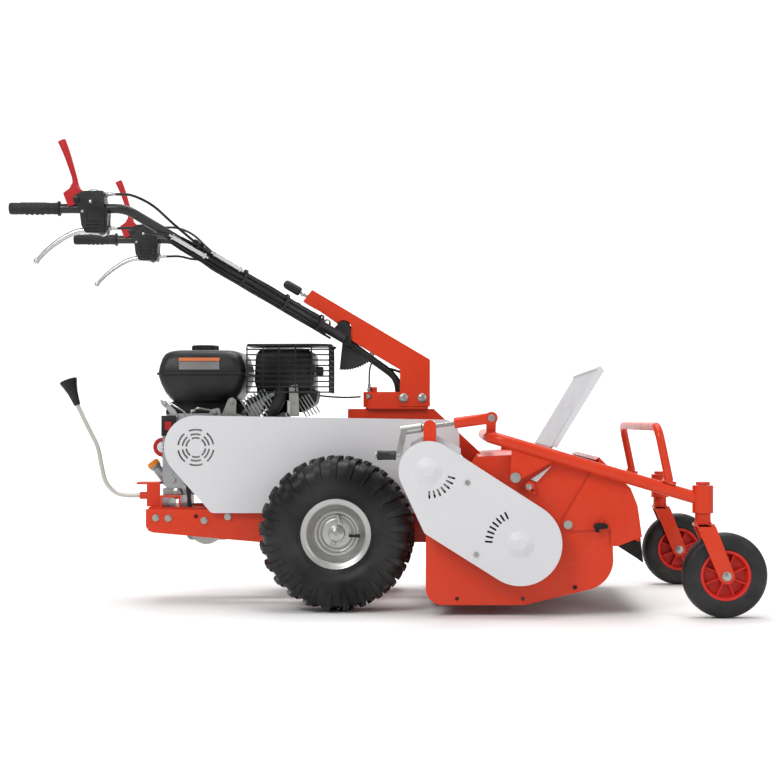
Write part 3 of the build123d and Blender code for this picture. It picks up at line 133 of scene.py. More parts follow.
def finish(name, colour, rough, vary, grain, bump, metal=0, wear=0, dust=0, coat=0, wave=0, gloss=0.5):
    """Procedural finish: cloudy colour, changing roughness, fine bump, small scuffs and dust lying low."""
    if name in MATERIALS:
        return MATERIALS[name]
    material = bpy.data.materials.new(name)
    material.use_nodes = True
    nodes, links = material.node_tree.nodes, material.node_tree.links
    shader = nodes["Principled BSDF"]
    where = nodes.new("ShaderNodeTexCoord").outputs["Object"]

    def noise(scale, detail=4.0):
        node = nodes.new("ShaderNodeTexNoise")
        node.inputs["Scale"].default_value = scale
        node.inputs["Detail"].default_value = detail
        links.new(where, node.inputs["Vector"])
        return node.outputs["Fac"]

    def spread(source, low, high, start=0.3, end=0.7):
        node = nodes.new("ShaderNodeMapRange")
        for socket, value in (("From Min", start), ("From Max", end), ("To Min", low), ("To Max", high)):
            node.inputs[socket].default_value = value
        links.new(source, node.inputs["Value"])
        return node.outputs["Result"]

    def mix(factor, first, second):
        node = nodes.new("ShaderNodeMix")
        node.data_type = "RGBA"
        links.new(factor, node.inputs["Factor"])
        for value, socket in ((first, "A"), (second, "B")):
            entry = [s for s in node.inputs if s.name == socket and s.type == "RGBA"][0]
            if isinstance(value, tuple):
                entry.default_value = (*value, 1)
            else:
                links.new(value, entry)
        return [s for s in node.outputs if s.type == "RGBA"][0]

    dark = tuple(c * (1 - vary) for c in colour)
    light = tuple(min(1, c * (1 + vary) + 0.15 * vary) for c in colour)
    tint = mix(spread(noise(CLOUDS), 0, 1), dark, light)
    if wear:
        worn = tuple(0.8 * c + 0.06 for c in colour)
        tint = mix(spread(noise(SCUFFS, 6.0), 0, wear, 0.6, 0.68), tint, worn)
    if dust:
        split = nodes.new("ShaderNodeSeparateXYZ")
        links.new(where, split.inputs["Vector"])
        low = nodes.new("ShaderNodeMath")
        low.operation = "MULTIPLY"
        links.new(spread(split.outputs["Z"], dust, dust * 0.15, DUST_LOW, DUST_HIGH), low.inputs[0])
        links.new(spread(noise(DUST_CLOUDS, 6.0), 0, 1, 0.42, 0.68), low.inputs[1])
        tint = mix(low.outputs["Value"], tint, DUST_COLOUR)
    links.new(tint, shader.inputs["Base Color"])
    smoothest, roughest = max(0.03, rough - GLOSS_SWING), min(1, rough + GLOSS_SWING)
    links.new(spread(noise(GLOSS_CLOUDS), smoothest, roughest), shader.inputs["Roughness"])
    shader.inputs["Metallic"].default_value = metal
    shader.inputs["Specular IOR Level"].default_value = gloss
    if coat:
        shader.inputs["Coat Weight"].default_value = coat
        shader.inputs["Coat Roughness"].default_value = COAT_ROUGHNESS
    if bump or wave:
        relief = nodes.new("ShaderNodeBump")
        relief.inputs["Strength"].default_value = max(bump, wave)
        relief.inputs["Distance"].default_value = RELIEF
        if wave:
            total = nodes.new("ShaderNodeMath")
            total.operation = "ADD"
            links.new(noise(WAVES, 2.0), total.inputs[0])
            links.new(spread(noise(grain), 0, bump), total.inputs[1])
            links.new(total.outputs["Value"], relief.inputs["Height"])
        else:
            links.new(noise(grain), relief.inputs["Height"])
        links.new(relief.outputs["Normal"], shader.inputs["Normal"])
    MATERIALS[name] = material
    return material


# look: (material, slot of the pieces in it, colour, roughness, variation, grain, bump, other values)
LOOKS = {
    "paint": ("orange_powder_coat", "orange_red_paint", (0.63, 0.037, 0.006), 0.34, 0.03, 700, 0.1,
        dict(wear=0.2, dust=0.06, coat=0.1, wave=0.2, gloss=0.25)),
    "white": ("white_powder_coat", "white_paint", (0.63, 0.63, 0.65), 0.42, 0.012, 900, 0.1,
        dict(dust=0.03, wave=0.1, gloss=0.35)),
    "panel": ("pale_shield_paint", None, (0.34, 0.35, 0.38), 0.42, 0.01, 500, 0.08, dict(metal=0.1)),
    "tube_black": ("black_tube_paint", None, (0.008, 0.0085, 0.01), 0.3, 0.2, 800, 0.06,
        dict(wear=0.15, gloss=0.35)),
    "plastic": ("black_moulded_plastic", "black_plastic", (0.004, 0.004, 0.0045), 0.36, 0.2, 1500, 0.15,
        dict(wear=0.1, gloss=0.26)),
    "tank_black": ("tank_satin_black", "black_plastic", (0.005, 0.0048, 0.0048), 0.36, 0.15, 1300, 0.15,
        dict(gloss=0.25)),
    "cover_black": ("heatproof_black", "black_paint", (0.004, 0.004, 0.0045), 0.5, 0.25, 900, 0.25,
        dict(gloss=0.22)),
    "grip_rubber": ("grip_rubber", "rubber", (0.007, 0.007, 0.008), 0.55, 0.2, 1800, 0.3, dict(gloss=0.25)),
    "tyre_rubber": ("tyre_rubber", "tyre_rubber", (0.003, 0.0032, 0.0036), 0.4, 0.2, 650, 0.2,
        dict(dust=0.02, gloss=0.22)),
    "caster_rubber": ("caster_rubber", "rubber", (0.005, 0.005, 0.0055), 0.46, 0.2, 800, 0.2,
        dict(dust=0.03, gloss=0.25)),
    "flap_rubber": ("flap_rubber", None, (0.006, 0.006, 0.006), 0.65, 0.3, 400, 0.5,
        dict(dust=0.08, gloss=0.2)),
    "zinc": ("zinc_plate", "zinc_steel", (0.42, 0.42, 0.4), 0.3, 0.1, 500, 0.1, dict(metal=1, wear=0.2)),
    "rim_paint": ("rim_silver", "silver_paint", (0.46, 0.46, 0.45), 0.36, 0.05, 1500, 0.1,
        dict(metal=0.8, dust=0.04)),
    "alloy": ("cast_alloy", "cast_alloy", (0.36, 0.37, 0.38), 0.46, 0.12, 420, 0.35,
        dict(metal=0.85, dust=0.05)),
    "polished": ("polished_alloy", "zinc_steel", (0.55, 0.55, 0.55), 0.26, 0.05, 900, 0.05, dict(metal=1)),
    "iron": ("dark_cast_iron", None, (0.03, 0.03, 0.032), 0.6, 0.25, 350, 0.5, dict(metal=0.5, dust=0.2)),
    "steel": ("bare_steel", None, (0.35, 0.35, 0.35), 0.38, 0.15, 350, 0.25, dict(metal=1, dust=0.15)),
    "lever_red": ("red_lever_plastic", "red_plastic", (0.42, 0.008, 0.01), 0.36, 0.06, 1100, 0.1,
        dict(gloss=0.3)),
    "rim_red": ("red_rim_plastic", "red_plastic", (0.6, 0.018, 0.01), 0.42, 0.05, 900, 0.12,
        dict(dust=0.03, gloss=0.3)),
    "amber": ("amber_cap_plastic", "amber_plastic", (0.75, 0.24, 0.01), 0.4, 0.08, 900, 0.12,
        dict(gloss=0.3)),
    "cable_black": ("cable_jacket", "cable_jacket", (0.005, 0.005, 0.0055), 0.4, 0.2, 1200, 0.12,
        dict(gloss=0.25)),
    "belt_rubber": ("belt_rubber", None, (0.01, 0.01, 0.01), 0.75, 0.2, 600, 0.4, dict(gloss=0.2)),
    "rod_silver": ("rod_silver_paint", "zinc_steel", (0.5, 0.49, 0.45), 0.4, 0.05, 700, 0.1, dict(metal=0.4)),
    "label": ("plain_label", "red_plastic", (0.6, 0.15, 0.04), 0.5, 0.05, 500, 0.05, {}),
    "pale_label": ("plain_pale_label", "black_plastic", (0.16, 0.155, 0.15), 0.5, 0.25, 500, 0.05, {}),
    # Painted shade: near-black for the discs that stand for the shade inside holes.
    "painted_hole_shade": ("painted_hole_shade_black", "black_plastic", (0.002, 0.002, 0.002), 0.8, 0.2, 500, 0.1, dict(gloss=0.1)),
}


def look_of(key):
    """The finish a look stands for."""
    name, _, colour, rough, vary, grain, bump, others = LOOKS[key]
    return finish(name, colour, rough, vary, grain, bump, **others)


# ---------------- mesh helpers
def circle(centre, first, second, radius=1.0, sides=20):
    """Points round centre, in the plane of two directions."""
    angles = [2 * pi * k / sides for k in range(sides)]
    return [centre + (first * cos(a) + second * sin(a)) * radius for a in angles]


class Piece:
    """Collects geometry in millimetres and turns it into one object riding on a body."""

    def __init__(self):
        self.bm = bmesh.new()

    def loft(self, rings, caps=True, closed=False):
        """Skin between rings of points with equal counts."""
        rows = [[self.bm.verts.new(p) for p in ring] for ring in rings]
        pairs = list(zip(rows, rows[1:])) + ([(rows[-1], rows[0])] if closed else [])
        for first, second in pairs:
            count = len(first)
            for i in range(count):
                j = (i + 1) % count
                self.bm.faces.new((first[i], first[j], second[j], second[i]))
        if caps and not closed:
            self.bm.faces.new(list(reversed(rows[0])))
            self.bm.faces.new(rows[-1])
        return self

    def lathe(self, profile, origin, axis=(0, 1, 0), sides=48, ring=False):
        """Turned shape from (distance along the axis, radius); ring joins the last point to the first."""
        axis = Vector(axis).normalized()
        side = axis.orthogonal().normalized()
        other = axis.cross(side)
        centre = Vector(origin)
        rings = [
            circle(centre + axis * along, side, other, max(radius, SMALLEST_RADIUS), sides)
            for along, radius in profile
        ]
        return self.loft(rings, caps=not ring, closed=ring)

    def tube(self, points, radius, sides=16):
        """Round bar along points; radius is one number or one per point."""
        points = [Vector(p) for p in points]
        radii = radius if isinstance(radius, (list, tuple)) else [radius] * len(points)
        tangents = []
        for i in range(len(points)):
            before, after = points[max(i - 1, 0)], points[min(i + 1, len(points) - 1)]
            tangents.append((after - before).normalized())
        side = tangents[0].orthogonal().normalized()
        rings = []
        for point, tangent, r in zip(points, tangents, radii):
            side = (side - tangent * side.dot(tangent)).normalized()
            other = tangent.cross(side)
            rings.append(circle(point, side, other, r, sides))
        return self.loft(rings)

    def bent(self, points, steps, radius, sides):
        """Round bar along a smooth curve through the points."""
        return self.tube(curve_points(points, steps), radius, sides)

    def prism(self, outline, y0, y1):
        """Outline of (X, Z) points filled between two Y stations."""
        return self.loft([[Vector((x, y, z)) for x, z in outline] for y in (y0, y1)])

    def plate(self, outline, corner, y0, y1, steps=5):
        """Prism of an outline with its corners rounded."""
        return self.prism(rounded(outline, corner, steps), y0, y1)

    def layers(self, sides, levels, steps):
        """Rounded block between (x0, x1, y0, y1) from (height, inset, corner radius) of its levels."""
        rings = []
        for z, inset, corner in levels:
            x0, x1, y0, y1 = sides[0] + inset, sides[1] - inset, sides[2] + inset, sides[3] - inset
            outline = rounded([(x0, y0), (x1, y0), (x1, y1), (x0, y1)], corner, steps)
            rings.append([Vector((x, y, z)) for x, y in outline])
        return self.loft(rings)

    def box(self, centre, size, turn=None):
        """Box, optionally turned by a rotation matrix about its own centre."""
        turn = turn or Matrix.Identity(3)
        half = Vector(size) / 2
        rings = []
        for z in (-half.z, half.z):
            rings.append([
                Vector(centre) + turn @ Vector((sx * half.x, sy * half.y, z))
                for sx, sy in ((-1, -1), (1, -1), (1, 1), (-1, 1))
            ])
        return self.loft(rings)

    def ball(self, centre, radius, sides):
        """Round ball."""
        profile = [(-radius * cos(pi * k / 12), radius * sin(pi * k / 12)) for k in range(13)]
        return self.lathe(profile, centre, UP, sides)

    def hexagon(self, centre, axis, across, height):
        """Hexagon head whose base is at centre and whose axis points outwards, with a domed crown."""
        r = across / 2 / cos(pi / 6)
        return self.lathe([(0, r), (height * 0.86, r), (height, r * 0.84)], centre, axis, 6)

    def bolt(self, centre, axis, across=13, height=6, washer=0):
        """Hexagon bolt head on a washer."""
        axis = Vector(axis).normalized()
        rim = washer or across * 0.72
        self.lathe([(0, rim), (1.6, rim), (2, rim - 0.5)], centre, axis, 32)
        return self.hexagon(Vector(centre) + axis * 2, axis, across, height)

    def done(self, name, body, look, replaced=None, bevel=0.0, angle=35, slot=None):
        """Makes the object, with its bevel and its finish, and fixes it to its body."""
        bmesh.ops.scale(self.bm, vec=(MM, MM, MM), verts=self.bm.verts)
        bmesh.ops.recalc_face_normals(self.bm, faces=self.bm.faces)
        mesh = bpy.data.meshes.new(name)
        self.bm.to_mesh(mesh)
        self.bm.free()
        for face in mesh.polygons:
            face.use_smooth = True
        mesh.set_sharp_from_angle(angle=radians(angle))
        piece = place(name, mesh)
        mesh.materials.append(look_of(look))
        soften(piece, bevel, angle)
        if body:
            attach(piece, body)
        if replaced:
            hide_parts(replaced)
        return piece


def soften(piece, bevel, angle=35):
    """Rounded edges."""
    if bevel:
        edge = piece.modifiers.new("edges", "BEVEL")
        edge.width = bevel * MM
        edge.segments = 2
        edge.limit_method = "ANGLE"
        edge.angle_limit = radians(angle)
        edge.harden_normals = True


def curve_points(points, steps=8):
    """Smooth curve through points (Catmull-Rom)."""
    points = [Vector(p) for p in points]
    padded = [2 * points[0] - points[1], *points, 2 * points[-1] - points[-2]]
    out = []
    for i in range(1, len(padded) - 2):
        a, b, c, d = padded[i - 1:i + 3]
        for k in range(steps):
            t = k / steps
            square, cube = 2 * a - 5 * b + 4 * c - d, 3 * b - a - 3 * c + d
            out.append(0.5 * (2 * b + (c - a) * t + square * t * t + cube * t ** 3))
    out.append(points[-1])
    return out


def rounded(outline, radius, steps=5):
    """Outline of (X, Z) points with its corners rounded."""
    out = []
    count = len(outline)
    for i in range(count):
        before, corner, after = (Vector(outline[(i + k) % count]) for k in (-1, 0, 1))
        first, second = (before - corner), (after - corner)
        cut = min(radius, first.length * 0.45, second.length * 0.45)
        start, end = corner + first.normalized() * cut, corner + second.normalized() * cut
        for k in range(steps + 1):
            t = k / steps
            out.append(tuple((1 - t) ** 2 * start + 2 * t * (1 - t) * corner + t * t * end))
    return out


def flipped(half):
    """Profile points of the other end, in the order that goes on from this one."""
    return [(-along, radius) for along, radius in reversed(half)]


def dress(node, look, bevel=0.0):
    """Gives a CAD node its finish."""
    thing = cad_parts[node]
    thing.data.materials.clear()
    thing.data.materials.append(look_of(look))
    soften(thing, bevel)


# ---------------- drive wheels
AXLE = (-132, 205)  # X and Z of the drive wheels' axle
HALF_TRACK = 252
LUGS = 25
RUBBER_HAIRS = 60


def drive_wheel(name, side):
    """Knobbly tyre, dished silver rim with valve stem, and the axle nut."""
    middle = side * HALF_TRACK
    origin = (AXLE[0], middle, AXLE[1])

    def spot(angle, offset, radius):
        return Vector((AXLE[0] + radius * cos(angle), middle + offset, AXLE[1] + radius * sin(angle)))

    def wedge(angle, y, tip_y, base, top, spread, tip):
        """Four points across a lug: two at its base and two at its top."""
        low = [spot(angle - spread, y, base), spot(angle + spread, y, base)]
        return [*low, spot(angle + tip, tip_y, top), spot(angle - tip, tip_y, top)]

    tyre = Piece()
    wall = [
        (-54, 80), (-55.5, 92), (-60, 97), (-68, 106), (-75, 122), (-78, 140), (-76, 160), (-69, 177),
        (-57, 187), (-40, 191.5), (-20, 193.5),
    ]
    tyre.lathe([*wall, (0, 194), *flipped(wall), (40, 78), (-40, 78)], origin, sides=120, ring=True)
    for bead in (-1, 1):
        tyre.lathe([(bead * 61, 98), (bead * 63.5, 100.5), (bead * 65.5, 103)], origin, sides=96, ring=True)
    # offset from the mid-plane, radius at the base and at the top, lag in radians, half width
    stations = (
        (4, 194, 204.4, 0.00, 5.2), (20, 193, 204.2, 0.018, 5.6), (38, 191, 203, 0.045, 6.4),
        (52, 187.5, 199.5, 0.066, 7.4), (64, 180, 193, 0.078, 8.4), (73, 168, 181.5, 0.084, 8.6),
        (77.5, 152, 164, 0.087, 7.2), (78, 143, 149, 0.088, 4.5),
    )
    _, tread_base, tread_top, _, _ = stations[0]
    shoulders = ((62, 181, 189, 3.6), (72, 169, 176.5, 3.8), (77, 153, 158.5, 3.0))
    for half in (-1, 1):
        for k in range(LUGS):
            start = 2 * pi * (k + (0.5 if half > 0 else 0)) / LUGS
            wobble = 0.6 + 0.4 * sin(k * 2.4 + half)
            rings = []
            for offset, base, top, shift, width in stations:
                spread = (width + 0.4 * wobble) / base
                out = min(offset + (2.2 if offset > 60 else 0), 80.8)
                angle = start - side * shift
                rings.append(wedge(angle, half * offset, half * out, base - 2.5, top, spread, 0.78 * spread))
            tyre.loft(rings)
            if half > 0:
                bar = [wedge(start, y, y * 0.8, tread_base - 2, tread_top - 0.4, 0.034, 0.026) for y in (-9, 9)]
                tyre.loft(bar)
            shoulder = start + pi / LUGS
            block = []
            for offset, base, top, width in shoulders:
                low, high = half * (offset - 1), half * (offset + 2)
                block.append(wedge(shoulder, low, high, base - 2, top, width / base, 0.7 * (width / base)))
            tyre.loft(block)
    for k in range(RUBBER_HAIRS):
        angle = 2 * pi * k / RUBBER_HAIRS + 0.31 * sin(k * 5.1)
        offset = side * (50 + 10 * sin(k * 3.7))
        tyre.tube([spot(angle, offset, 186), spot(angle, offset, 198)], [0.9, 0.5], 5)
    tyre.done(f"{name}_tyre", f"{name}_wheel", "tyre_rubber", f"{name}_drive_tyre", bevel=1.2, angle=30)

    rim = Piece()
    shell = [
        (57, 91), (56.2, 92.2), (54.5, 92.6), (53, 91.5), (52, 88), (50, 80), (47, 77.5), (36, 76.5), (31, 74),
        (27, 67), (22, 64.5), (6, 63.5), (-20, 63.8), (-30, 74), (-50, 77), (-54, 91), (-57, 91), (-56, 77),
        (-50, 73), (-32, 71), (-22, 61), (4, 61), (20, 61), (30, 66), (34, 72), (50, 74.5), (54.5, 79),
        (55.5, 88),
    ]
    dish = [
        (20, 64), (23.5, 61), (25.5, 57), (25, 53), (20, 50.5), (14.5, 49), (12.5, 46), (13.5, 42.5), (17, 40),
        (18, 33), (18, 22), (21, 20), (24, 19.4), (24, 12.7), (15, 12.7), (15, 33), (12, 40), (8, 46), (10, 51),
        (17, 54), (20, 57), (17, 61),
    ]
    inner_sleeve = [(-30, 19), (-82, 19), (-82, 12.7), (-30, 12.7)]
    outer_sleeve = [(24, 19), (-30, 19), (-30, 12.7), (24, 12.7)]
    for profile, sides in ((shell, 96), (dish, 96), (inner_sleeve, 48), (outer_sleeve, 48)):
        rim.lathe([(side * a, r) for a, r in profile], origin, sides=sides, ring=True)
    rim.done(f"{name}_rim_shell", f"{name}_wheel", "rim_paint", f"{name}_wheel_rim", bevel=0.6, angle=50)

    hub = Piece()
    direction = (0, side, 0)

    def centre(offset):
        return (AXLE[0], middle + side * offset, AXLE[1])

    hub.lathe([(0, 12.5), (30, 12.5)], centre(0), direction, 32)
    hub.lathe([(0, 12.5), (HALF_TRACK - 3, 12.5)], centre(0), (0, -side, 0), 32)
    hub.lathe([(24.2, 20), (26.6, 20), (27, 19.4)], centre(0), direction, 48)
    hub.hexagon(centre(27), direction, 25, 8)
    thread = [(34.8, 9.4), (38.5, 9.4), (39, 8.6), (39, 4.6), (36.5, 4.2), (36.4, 0)]
    hub.lathe(thread, centre(0), direction, 32)
    for angle in (70, 250):
        offset = Vector((27 * cos(radians(angle)), 0, 27 * sin(radians(angle))))
        hub.bolt(Vector(centre(17.5)) + offset, direction, 11, 6, 9)
    nipple = (AXLE[0] + 9, middle + side * 21, AXLE[1] + 25)
    hub.lathe([(0, 5.2), (24, 5.2), (25, 4)], nipple, (-0.3, 0, 1), 20)
    hub.done(f"{name}_hub_nut", f"{name}_wheel", "zinc", bevel=0.5)

    valve = Piece()
    foot = Vector((AXLE[0] + 61, middle + side * 33, AXLE[1] - 6))
    neck = foot + Vector((-20, side * 9, 0.5))
    valve.tube([foot, foot + Vector((-8, side * 3, 0)), neck], [4.6, 4.2, 3.4], 16)
    valve.tube([neck, foot + Vector((-27, side * 12, 1))], [4.1, 3.7], 16)
    valve.done(f"{name}_valve", f"{name}_wheel", "caster_rubber", bevel=0.4)


# ---------------- casters
CASTER_AXLE = (861.5, 400, 108.5)
FORK_PIVOT, FORK_CROWN = 807, 239
SIDEWALL_RIBS, SPOKES = 72, 8


def caster(name, side):
    """Grey-black tyre on a red rim with eight spokes, in an orange fork with its axle bolt."""
    x, y, z = CASTER_AXLE[0], side * CASTER_AXLE[1], CASTER_AXLE[2]
    body = f"{name}_caster"
    tyre = Piece()
    half = [
        (-22, 62.6), (-24, 64.5), (-26.5, 70), (-29, 80), (-29.7, 88), (-28, 96), (-23.5, 102.5), (-17, 106.2),
        (-12.4, 107.3), (-11.5, 106), (-10.4, 107.6), (-4.5, 108.3), (-3.6, 106.8),
    ]
    tyre.lathe(half + flipped(half), (x, y, z), sides=96, ring=True)
    for k in range(SIDEWALL_RIBS):
        angle = 2 * pi * k / SIDEWALL_RIBS
        for face in (-1, 1):
            ends = [
                (x + radius * cos(angle), y + face * out, z + radius * sin(angle))
                for radius, out in ((93, 28.6), (100.5, 25.2))
            ]
            tyre.tube(ends, 0.9, 4)
    tyre.done(f"{name}_caster_tyre", body, "caster_rubber", f"{name}_caster_wheel")

    rim = Piece()
    flange = [(-24, 58), (-24.6, 63), (-23, 64.5), (-20, 62.6)]
    inside = [(21, 55.5), (4, 53.5), (2, 50), (-2, 50), (-4, 53.5), (-21, 55.5)]
    rim.lathe(flange + flipped(flange) + inside, (x, y, z), sides=96, ring=True)
    rim.lathe([(-2, 14), (-2, 51), (2, 51), (2, 14)], (x, y, z), sides=72, ring=True)
    hub = [(-32, 8.2), (-32, 14), (-29, 17), (29, 17), (32, 14), (32, 8.2)]
    rim.lathe(hub, (x, y, z), sides=40, ring=True)
    for k in range(SPOKES):
        angle = 2 * pi * (k + 0.5) / SPOKES
        along = Vector((cos(angle), 0, sin(angle)))
        across = Vector((-sin(angle), 0, cos(angle)))
        for face in (-1, 1):
            rings = []
            for radius, depth in ((15, 25), (34, 19), (56, 20)):
                foot = Vector((x, y, z)) + along * radius
                low, high = foot + ACROSS * face, foot + ACROSS * face * depth
                rings.append([low + across * 2.4, low - across * 2.4, high - across * 1.6, high + across * 1.6])
            rim.loft(rings)
    rim.done(f"{name}_caster_rim", body, "rim_red", bevel=0.5)

    bolt = Piece()
    for face in (-1, 1):
        bolt.bolt((x, y + face * 38, z), (0, face, 0), 17, 6, 12)
        bolt.lathe([(0, 4), (9.6, 4), (10, 3)], (x, y + face * 38, z), (0, face, 0), 20)
    bolt.lathe([(0, 8), (66, 8)], (x, y - 33, z), (0, 1, 0), 24)
    bolt.done(f"{name}_caster_nuts", f"{name}_fork", "zinc", bevel=0.4)

    fork = Piece()
    pivot, crown = FORK_PIVOT, FORK_CROWN
    for inner, outer in ((33, 38), (-38, -33)):
        leg = [(pivot - 22, crown), (pivot + 6, crown), (pivot + 27, crown - 5)]
        foot_angles = [radians(a) for a in range(22, -159, -12)]
        leg += [(x + 20 * cos(a), z + 20 * sin(a)) for a in foot_angles]
        fork.prism(leg, y + inner, y + outer)
    plan = [(-22, -38), (20, -38), (27, -30), (27, 30), (20, 38), (-22, 38)]
    plan = rounded([(pivot + a, b) for a, b in plan], 5, 3)
    fork.loft([[Vector((a, y + b, level)) for a, b in plan] for level in (crown - 6.5, crown)])
    brace = [(pivot - 20, crown), (pivot + 20, crown), (pivot + 15, crown + 13), (pivot - 15, crown + 13)]
    for face in (-1, 1):
        fork.prism(brace, y + face * 14, y + face * 18)
    fork.lathe([(0, 21), (8, 20), (26, 20), (26, 12.5), (97, 12.5)], (pivot, y, crown), UP, 40)
    fork.lathe([(0, 17), (1, 18), (6.5, 18), (8, 16)], (pivot, y, 337.2), UP, 40)
    fork.done(f"{name}_fork_frame", f"{name}_fork", "paint", f"{name}_caster_fork", bevel=0.9)


# ---------------- engine
SHAFT = (-520, 428)  # X and Z of the crankshaft
TANK_SIDES = (-637, -397, -100, 150)
TANK_CORNER = 34
CLEANER_SIDES = (-384, -215, 30, 160)


def engine():
    """The engine's pieces, from the tank down to the drain bolts."""
    fuel_system()
    exhaust()
    castings()
    brackets()
    starter_side()
    oil_and_drain()
    dress("stop_switch", "plastic", 1.2)
    dress("stop_rocker", "lever_red", 1.0)
    dress("throttle_cable", "cable_black")


def fuel_system():
    """Tank with its plain labels and its cap."""
    tank = Piece()
    shape = (
        (549, 44, 40), (552, 36, 40), (562, 26, 38), (578, 16, 34), (600, 7, 30), (620, 1.5, 28), (629, 0, 28),
        (650, 3, 30), (670, 8, 34), (683, 14, 38), (691, 24, 44), (695, 40, 40),
    )
    tank.layers(TANK_SIDES, shape, 7)
    flange = ((625, 0), (626, 4.5), (631.5, 4.5), (632.5, 0))
    tank.layers(TANK_SIDES, [(z, -grow, TANK_CORNER) for z, grow in flange], 7)
    for x in (-600, -430):
        tank.box((x, 30, 537), (28, 60, 34))
    tank.done("tank_shell", "machine", "tank_black", "fuel_tank", bevel=1.5)

    sticker = Piece()
    sticker.box((-521, -98.8, 668), (112, 0.8, 9))
    sticker.done("tank_label_band", "machine", "label")
    sticker = Piece()
    sticker.box((-521, -99.6, 651), (110, 0.8, 22))
    sticker.done("tank_label_plain", "machine", "pale_label")

    cap = Piece()
    rings = []
    for z, radius, depth in ((695, 33, 0), (697, 36, 2.2), (709, 36, 2.6), (711.5, 33, 1.2), (712, 20, 0)):
        rings.append([])
        for a in (2 * pi * k / 96 for k in range(96)):
            reach = radius + depth * cos(12 * a)
            rings[-1].append(Vector((-523 + reach * cos(a), 20 + reach * sin(a), z)))
    cap.loft(rings)
    cap.done("fuel_cap_knurled", "fuel_cap_body", "plastic", "fuel_cap", bevel=0.5)


def exhaust():
    """Muffler cover and the wire cage round it."""
    box_shape = Piece()
    rings = []
    for y, inset, corner in ((-90, 24, 22), (-87, 12, 26), (-78, 4, 28), (-60, 0, 30), (0, 0, 30), (8, 6, 26)):
        low, high = 585 + inset, 700 - inset
        outline = [(-376 + inset, low), (-207 - inset, low), (-214 - inset, high), (-370 + inset, high)]
        rings.append([Vector((x, y, z)) for x, z in rounded(outline, corner, 6)])
    box_shape.loft(rings)
    for z in (612, 632, 652, 672):
        box_shape.box((-292, -90.6, z), (96, 3, 6))
    box_shape.lathe([(0, 14), (20, 12)], (-206, -40, 637), (1, 0, 0), 24)
    box_shape.done("muffler_cover", "machine", "cover_black", "muffler", bevel=1.0, slot="silver_paint")

    cage = Piece()
    frame_path = [(-388, 707), (-175, 707), (-165, 700), (-163, 688), (-163, 577)]
    for y in (-108, 18):
        cage.bent([(x, y, z) for x, z in frame_path], 5, 3.2, 10)
    top_outline = [(-392, -106), (-392, 16), (-168, 16), (-168, -106)]
    cage.loft([[Vector((x, y, z)) for x, y in rounded(top_outline, 14)] for z in (704.5, 707)])
    for k in range(9):
        z = 578 + 14.6 * k
        wrap = [(-392, -107.5, z), (-180, -107.5, z), (-168, -104, z), (-164.5, -92, z), (-164.5, 18, z)]
        cage.bent(wrap, 4, 2.1, 8)
    for x in (-389, -345, -301, -257, -213):
        cage.tube([(x, -108.6, 576), (x, -108.6, 704)], 1.9, 8)
    for y in (-86, -50, -14, 16):
        cage.tube([(-163.4, y, 576), (-163.4, y, 704)], 1.9, 8)
    for x, z in ((-381, 640), (-209, 640)):
        cage.box((x, -99, z), (14, 18, 16))
    cage.done("muffler_cage", "machine", "cover_black", "muffler_guard")


def castings():
    """Crankcase, leaning cylinder with its fins, and the dark covers round it."""
    block = Piece()
    block.plate([(-628, 312), (-400, 312), (-400, 520), (-628, 520)], 30, -66, 110, 6)
    block.plate([(-627, 296), (-396, 296), (-396, 314), (-627, 314)], 3, -62, 106)
    for x in (-600, -560, -470, -430):
        block.box((x, -60, 420), (6, 14, 170))
    for z in (350, 400, 450, 500):
        block.box((-629, 20, z), (5, 150, 6))
    block.lathe([(0, 66), (6, 64), (8, 46), (10, 44)], (SHAFT[0], -66, SHAFT[1]), OUTWARD, 64)
    lean = Matrix.Rotation(radians(90 - 25), 3, "Y")
    centre = Vector((-390, 20, 420))
    axis = lean @ UP
    block.box(centre + axis * 45, (96, 110, 100), lean)
    for k in range(10):
        block.box(centre + axis * (4 + 10 * k), (130, 140, 2.6), lean)
    block.box(centre + axis * 112, (110, 120, 26), lean)
    block.box(centre + axis * 122, (84, 92, 12), lean)
    for sx in (-1, 1):
        for sy in (-1, 1):
            corner = centre + axis * 118 + lean @ Vector((sx * 44, sy * 50, 0))
            block.lathe([(0, 9), (12, 9)], corner, axis, 20)
    block.done("engine_castings", "machine", "alloy", "engine_block", bevel=1.0)

    dark = Piece()
    dark.plate([(-398, 478), (-330, 552), (-300, 566), (-352, 576), (-398, 560)], 10, -58, -20)
    pipe = curve_points([(-338, -58, 505), (-318, -66, 535), (-303, -72, 565), (-300, -72, 592)], 6)
    dark.tube(pipe, 17, 24)
    dark.plate([(-250, 520), (-205, 548), (-200, 585), (-262, 590), (-276, 545)], 10, -52, 40)
    under_tank = [
        (-620, 508), (-590, 500), (-500, 508), (-420, 512), (-400, 540), (-440, 552), (-600, 552), (-625, 530),
    ]
    dark.plate(under_tank, 12, -40, 60)
    dark.done("engine_dark_covers", "machine", "cover_black", bevel=1.4)

    fins = Piece()
    lean = Matrix.Rotation(radians(-32), 3, "Y")
    for k in range(8):
        fins.box((-392 + 9 * k, -66, 526 + 4.5 * k), (3, 22, 74), lean)
    for k in range(5):
        fins.box((-246 + 9 * k, -60, 536 + 3 * k), (3, 20, 60), lean)
    fins.box((-352, -58, 556), (92, 10, 12), lean)
    fins.done("cylinder_fins", "machine", "alloy", bevel=0.5)


